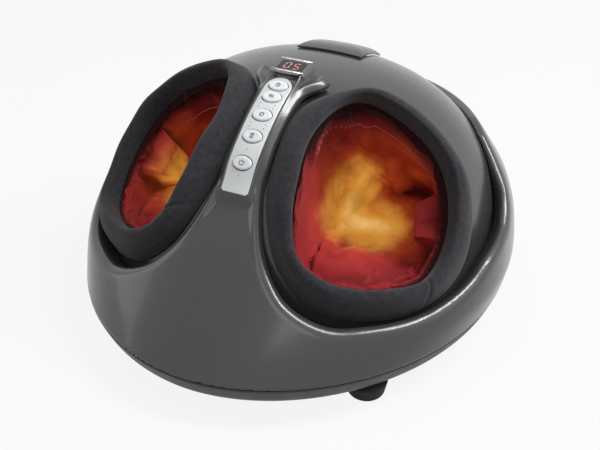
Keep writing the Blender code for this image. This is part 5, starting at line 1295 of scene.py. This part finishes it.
def make_liner(side_word, side):
    count, down, inward = LINER_COUNTS
    base, inward_way, place = liner_base(count, down, inward)
    mirror = np.array([side, 1.0, 1.0])
    shift = (0.0, FRAME_SHIFT, 0.0)

    def over_backing(points, ways, reach):
        behind = (f"foot_well_{side_word}", f"heater_pad_{side_word}")
        places = (points * mirror + shift).reshape(-1, 3)
        return backing(behind, places, (ways * mirror).reshape(-1, 3), reach).reshape(points.shape[:2])

    phase = (math.tau * np.arange(count) / count)[None]
    over = over_backing(base, inward_way, LINER_REACH)
    least, bulge = liner_bulge(side_word, base, place, phase, over)
    grid = base + bulge[..., None] * inward_way
    faces = ring_faces(grid.shape[0], count)[:, ::side]
    mesh = quad_mesh(f"liner_{side_word}", (grid * mirror).reshape(-1, 3), faces)
    made = show(f"liner_bag_{side_word}", mesh, LINERS[side_word], (f"liner_{side_word}",))
    held = np.clip(1 - place / HELD_MOUTH, 0, 1) + np.clip((place - HELD_FLOOR) / HELD_FLOOR_RUN, 0, 1)
    held = np.broadcast_to(np.clip(held, 0, 1), grid.shape[:2]).ravel()
    points = draped(made, held, LINER_GROWTH, LINER_FRAMES)
    points = (points - shift).reshape(grid.shape) * mirror
    depth_in = ((points - base) * inward_way).sum(axis=2, keepdims=True)
    grid = points + np.maximum(least[..., None] - depth_in, 0.0) * inward_way
    for ways, start in ((inward_way, 0.02), (np.broadcast_to((0.0, 0.0, 1.0), base.shape), 0.6)):
        over = over_backing(grid, ways, LIFT_REACH)
        lift = np.clip(over + LINER_LEAST_GAP, 0.0, LIFT_MOST) * (place > start)
        grid = grid + np.maximum(lift, 1.2 * blurred(lift, 2))[..., None] * ways
    mesh.vertices.foreach_set("co", (grid * mirror + shift).astype(np.float32).ravel())
    mesh.update()
    height = ((grid - base) * inward_way).sum(axis=2)
    # Painted shade of each point, kept on the liner's mesh for its cloth material
    painted_shade = mesh.attributes.new("painted_shade", "FLOAT", "POINT")
    painted_shade.data.foreach_set("value", liner_painted_shade(place, phase / math.tau, height).astype(np.float32).ravel())
    refined = made.modifiers.new("refined", "SUBSURF")
    refined.levels = refined.render_levels = 1
    mesh = bpy.data.meshes.new_from_object(made.evaluated_get(bpy.context.evaluated_depsgraph_get()))
    made.modifiers.remove(refined)
    made.data = mesh
    make_threads(side_word, grid * mirror, inward_way * mirror, down)


def make_threads(side_word, grid, inward_way, down):
    """Stitches along the liner's upper seam, the seam's thread, and the hem's cord below."""
    count = grid.shape[1]

    def on_cloth(places, turns, lift):
        rows, columns = np.asarray(places) * (down - 1), np.asarray(turns) % 1.0 * count
        i, j = rows.astype(int), columns.astype(int)
        a, b = (rows - i)[:, None], (columns - j)[:, None]
        cloth = grid + lift * inward_way
        near, far = (cloth[row, j % count] * (1 - b) + cloth[row, (j + 1) % count] * b for row in (i, i + 1))
        return near * (1 - a) + far * a

    steps = np.linspace(0.0, 1.0, 5)
    stitches = [on_cloth(STITCH_PLACE + STITCH_FALL * steps,
                         SEAM_TURN + STITCH_PITCH * number + STITCH_TURN * steps, 0.0006)
                for number in range(STITCH_COUNT)]
    steps = np.linspace(0.0, 1.0, 70)
    sag = np.sin(math.pi * steps)
    stitches.append(on_cloth(THREAD_PLACE + THREAD_SAG * sag, SEAM_TURN - THREAD_TURN * steps, 0.0003))
    hem = [on_cloth(HEM_PLACE + HEM_SAG * sag, HEM_START + HEM_TURN * steps, 0.0004)]
    show(f"liner_stitches_{side_word}", threads_mesh("stitches", stitches, THREAD_RADIUS), THREAD)
    show(f"liner_hem_{side_word}", threads_mesh("hem", hem, HEM_RADIUS), PAD_RED)


def liner_material(name, glow, reach):
    """Red cloth with painted light from within: base colour and glow run from yellow at the lit spot through
    orange to deep red, and both are darkened by the painted shade.
    """
    made = Shading(name)
    # distance from the spot of painted light from within
    distance = made.worked("ShaderNodeVectorMath", "DISTANCE", made.place, glow)
    uneven = made.worked("ShaderNodeMath", "MULTIPLY_ADD", made.noise(30.0), 0.05, distance)
    near = made.spread(uneven, 0.0, 1.0, 0.028, reach + 0.03)
    # painted shade kept on the liner's mesh
    painted_shade = made.node("ShaderNodeAttribute", attribute_name="painted_shade").outputs["Fac"]
    # base colour and glow, both painted light, darkened by the painted shade
    cloth, light = (made.worked("ShaderNodeVectorMath", "SCALE", made.ramp(near, stops), None, None, painted_shade)
                    for stops in (LINER_PAINTED_LIGHT_TONES, LINER_PAINTED_GLOW))
    under = made.bump(made.noise(90.0), 0.2, 0.0010)
    return made.dress({"Base Color": cloth, "Emission Color": light,
                       "Normal": made.bump(made.noise(1500.0, 2.0), 0.2, 0.0001, under)},
                      {"Emission Strength": 0.75, "Roughness": 0.8, "Specular IOR Level": 0.12,
                       "Sheen Weight": 0.06})


# Each liner with the spot of its painted light from within, and how far that light reaches
LINERS = {"right": liner_material("liner_cloth_right", (0.062, 0.006, 0.082), 0.098),
          "left": liner_material("liner_cloth_left", (-0.094, -0.008, 0.080), 0.085)}


def threads_mesh(name, lines, radius, sides=6):
    """Round threads along lines in space."""
    turns = math.tau * np.arange(sides) / sides
    tubes = []
    for line in lines:
        ahead = np.gradient(line, axis=0)
        ahead /= np.linalg.norm(ahead, axis=1, keepdims=True)
        first = np.cross(ahead, THREAD_ASIDE)
        first /= np.linalg.norm(first, axis=1, keepdims=True)
        second = np.cross(ahead, first)
        tubes.append(line[:, None] + radius * (np.cos(turns)[:, None] * first[:, None]
                                               + np.sin(turns)[:, None] * second[:, None]))
    return tubes_mesh(name, tubes)


# Grip, feet
def dome_lift(x, y):
    levels = np.linspace(DOME_TOP, SKIRT_BOTTOM, 900)
    values = dome_value(np.asarray(x)[..., None], np.asarray(y)[..., None], levels)
    return levels[np.argmax(values < 0, axis=-1)]


def make_handle():
    rows, columns = GRIP_COUNTS
    xs, ys = GRIP_HALF_WIDTH * np.linspace(-1, 1, columns), np.linspace(*GRIP_YS, rows)
    x, y = np.meshgrid(xs, ys)
    points = np.stack([x, y, dome_lift(x, y)], -1)
    normals = dome_normals(points)
    across = 1 - np.abs(xs / GRIP_HALF_WIDTH) ** 8
    along = smooth_through(*zip(*GRIP_SWELL), np.linspace(0, 1, rows))
    swell = np.minimum(across, along[:, None])[..., None]
    low = points + GRIP_GAP * normals
    high = points + (GRIP_GAP + GRIP_EDGE + GRIP_RISE * swell) * normals
    grid = np.concatenate([high.reshape(-1, 3), low.reshape(-1, 3)])
    top = ring_faces(rows, columns, closed_columns=False)
    numbers = np.arange(rows * columns).reshape(rows, columns)
    border = np.concatenate([numbers[0], numbers[1:, -1], numbers[-1, -2::-1], numbers[-2:0:-1, 0]])
    ahead = np.roll(border, -1)
    rim = np.stack([border, border + numbers.size, ahead + numbers.size, ahead], 1)
    faces = np.concatenate([top, top[:, ::-1] + numbers.size, rim])
    show("grip_lip", quad_mesh("grip_lip", grid, faces), SHELL, ("carry_handle",), sharp=40)


def make_feet():
    profile = [(0.0060, 0.0008), (0.0122, 0.0008), (0.0125, 0.0), (0.0138, 0.0), (0.0145, 0.0010)]
    for step in range(FOOT_RIBS):
        low = FOOT_RIB_PITCH * (step + 1)
        wide = 0.0145 + 0.0025 * low / FOOT_HEIGHT
        profile += [(wide - FOOT_RIB, low), (wide, low + 0.0004), (wide, low + 0.0011),
                    (wide - FOOT_RIB, low + 0.0014)]
    profile += [(0.0168, 0.0114), (0.0164, FOOT_HEIGHT)]
    for end, y in FOOT_YS:
        for side_word, side in SIDES:
            rings = [np.column_stack([oval(radius, radius, 64) + (side * FOOT_X, y), np.full(64, height)])
                     for radius, height in profile]
            show(f"foot_{end}_{side_word}", loft_mesh(f"foot_{end}_{side_word}", rings), RUBBER,
                 (f"rubber_foot_{end}_{side_word}",), sharp=50)


# Stage
def seen_rays(tree):
    """One for rays from the camera, in reflections and through glass."""
    rays = tree.nodes.new("ShaderNodeLightPath").outputs
    total = rays["Is Camera Ray"]
    for name in ("Is Glossy Ray", "Is Transmission Ray"):
        either = tree.nodes.new("ShaderNodeMath")
        either.operation, either.use_clamp = "ADD", True
        tree.links.new(total, either.inputs[0])
        tree.links.new(rays[name], either.inputs[1])
        total = either.outputs["Value"]
    return total


def mixed(tree, output, share, first, second):
    """Make a tree's surface the first shader where the share is 0 and the second where it is 1."""
    mix = tree.nodes.new("ShaderNodeMixShader")
    for target, source in zip(mix.inputs, (share, first, second)):
        tree.links.new(source, target)
    tree.links.new(mix.outputs["Shader"], tree.nodes[output].inputs["Surface"])


def backdrop_material():
    """White to the camera and in reflections, pale and matt for light, with the object's shadow kept."""
    made = Shading("pale_floor")
    tone = made.ramp(made.noise(3.0), ((0.3, (0.62, 0.62, 0.62)), (0.7, (0.64, 0.64, 0.64))))
    glow = made.node("ShaderNodeEmission", Color=WHITE, Strength=1.0)
    share = made.worked("ShaderNodeMath", "MULTIPLY", seen_rays(made.tree), FLOOR_GLOW)
    mixed(made.tree, "Material Output", share, made.shader.outputs["BSDF"], glow.outputs["Emission"])
    return made.dress({"Base Color": tone}, {"Roughness": 0.9})


def make_stage():
    floor = bpy.data.meshes.new("floor")
    corners = [(x * FLOOR_REACH, y * FLOOR_REACH, 0) for x, y in ((-1, -1), (1, -1), (1, 1), (-1, 1))]
    floor.from_pydata(corners, [], [(0, 1, 2, 3)])
    made = linked("floor", floor)
    floor.materials.append(backdrop_material())
    world = bpy.data.worlds.new("studio")
    bpy.context.scene.world = world
    world.use_nodes = True
    tree = world.node_tree
    soft, white = tree.nodes["Background"], tree.nodes.new("ShaderNodeBackground")
    soft.inputs["Color"].default_value, soft.inputs["Strength"].default_value = SKY_COLOUR, SKY_STRENGTH
    white.inputs["Color"].default_value = WHITE
    mixed(tree, "World Output", seen_rays(tree), soft.outputs["Background"], white.outputs["Background"])


LAMPS = (("key", (0.65, 0.30, 1.6), (0.50, 0.50), 11.0), ("top", (-0.5, -0.2, 1.9), (1.0, 1.0), 4.5),
         ("side", (1.6, 0.2, 0.8), (0.8, 1.0), 2.0), ("front", (0.7, -1.5, 1.5), (0.8, 0.8), 4.0),
         ("edge", (1.12, 0.42, 1.36), (0.22, 0.80), 15.0), ("left", (-1.6, -0.6, 0.7), (0.8, 1.0), 3.0))


def aim(made, place, way):
    made.location = place
    made.rotation_euler = way.to_track_quat("-Z", "Y").to_euler()


def make_lamps():
    for name, place, size, power in LAMPS:
        data = bpy.data.lights.new(name, "AREA")
        data.shape, data.size, data.size_y, data.energy = "RECTANGLE", size[0], size[1], power
        aim(linked(name, data), place, Vector(CAMERA_AIM) - Vector(place))


def make_camera():
    data = bpy.data.cameras.new("camera")
    data.lens, data.shift_x, data.shift_y = CAMERA_LENS, CAMERA_SHIFT[0], CAMERA_SHIFT[1]
    made = linked("camera", data)
    back = Vector(pointing(CAMERA_AZIMUTH, CAMERA_ELEVATION))
    aim(made, Vector(CAMERA_AIM) + CAMERA_DISTANCE * back, -back)
    bpy.context.scene.camera = made


make_camera()
make_stage()
make_lamps()
bpy.context.scene.view_settings.view_transform = "Standard"
dress_carried_nodes()
make_front_shell(plane_map(opening_outline(CREST_SHARES, 300)))
make_dome(plane_map(opening_outline(HOLE_EDGE_SHARES, 200)))
make_tray()
make_panel()
make_buttons()
make_display()
make_marks()
for word, sign in SIDES:
    make_cuff(word, sign)
    make_liner(word, sign)
make_handle()
make_feet()
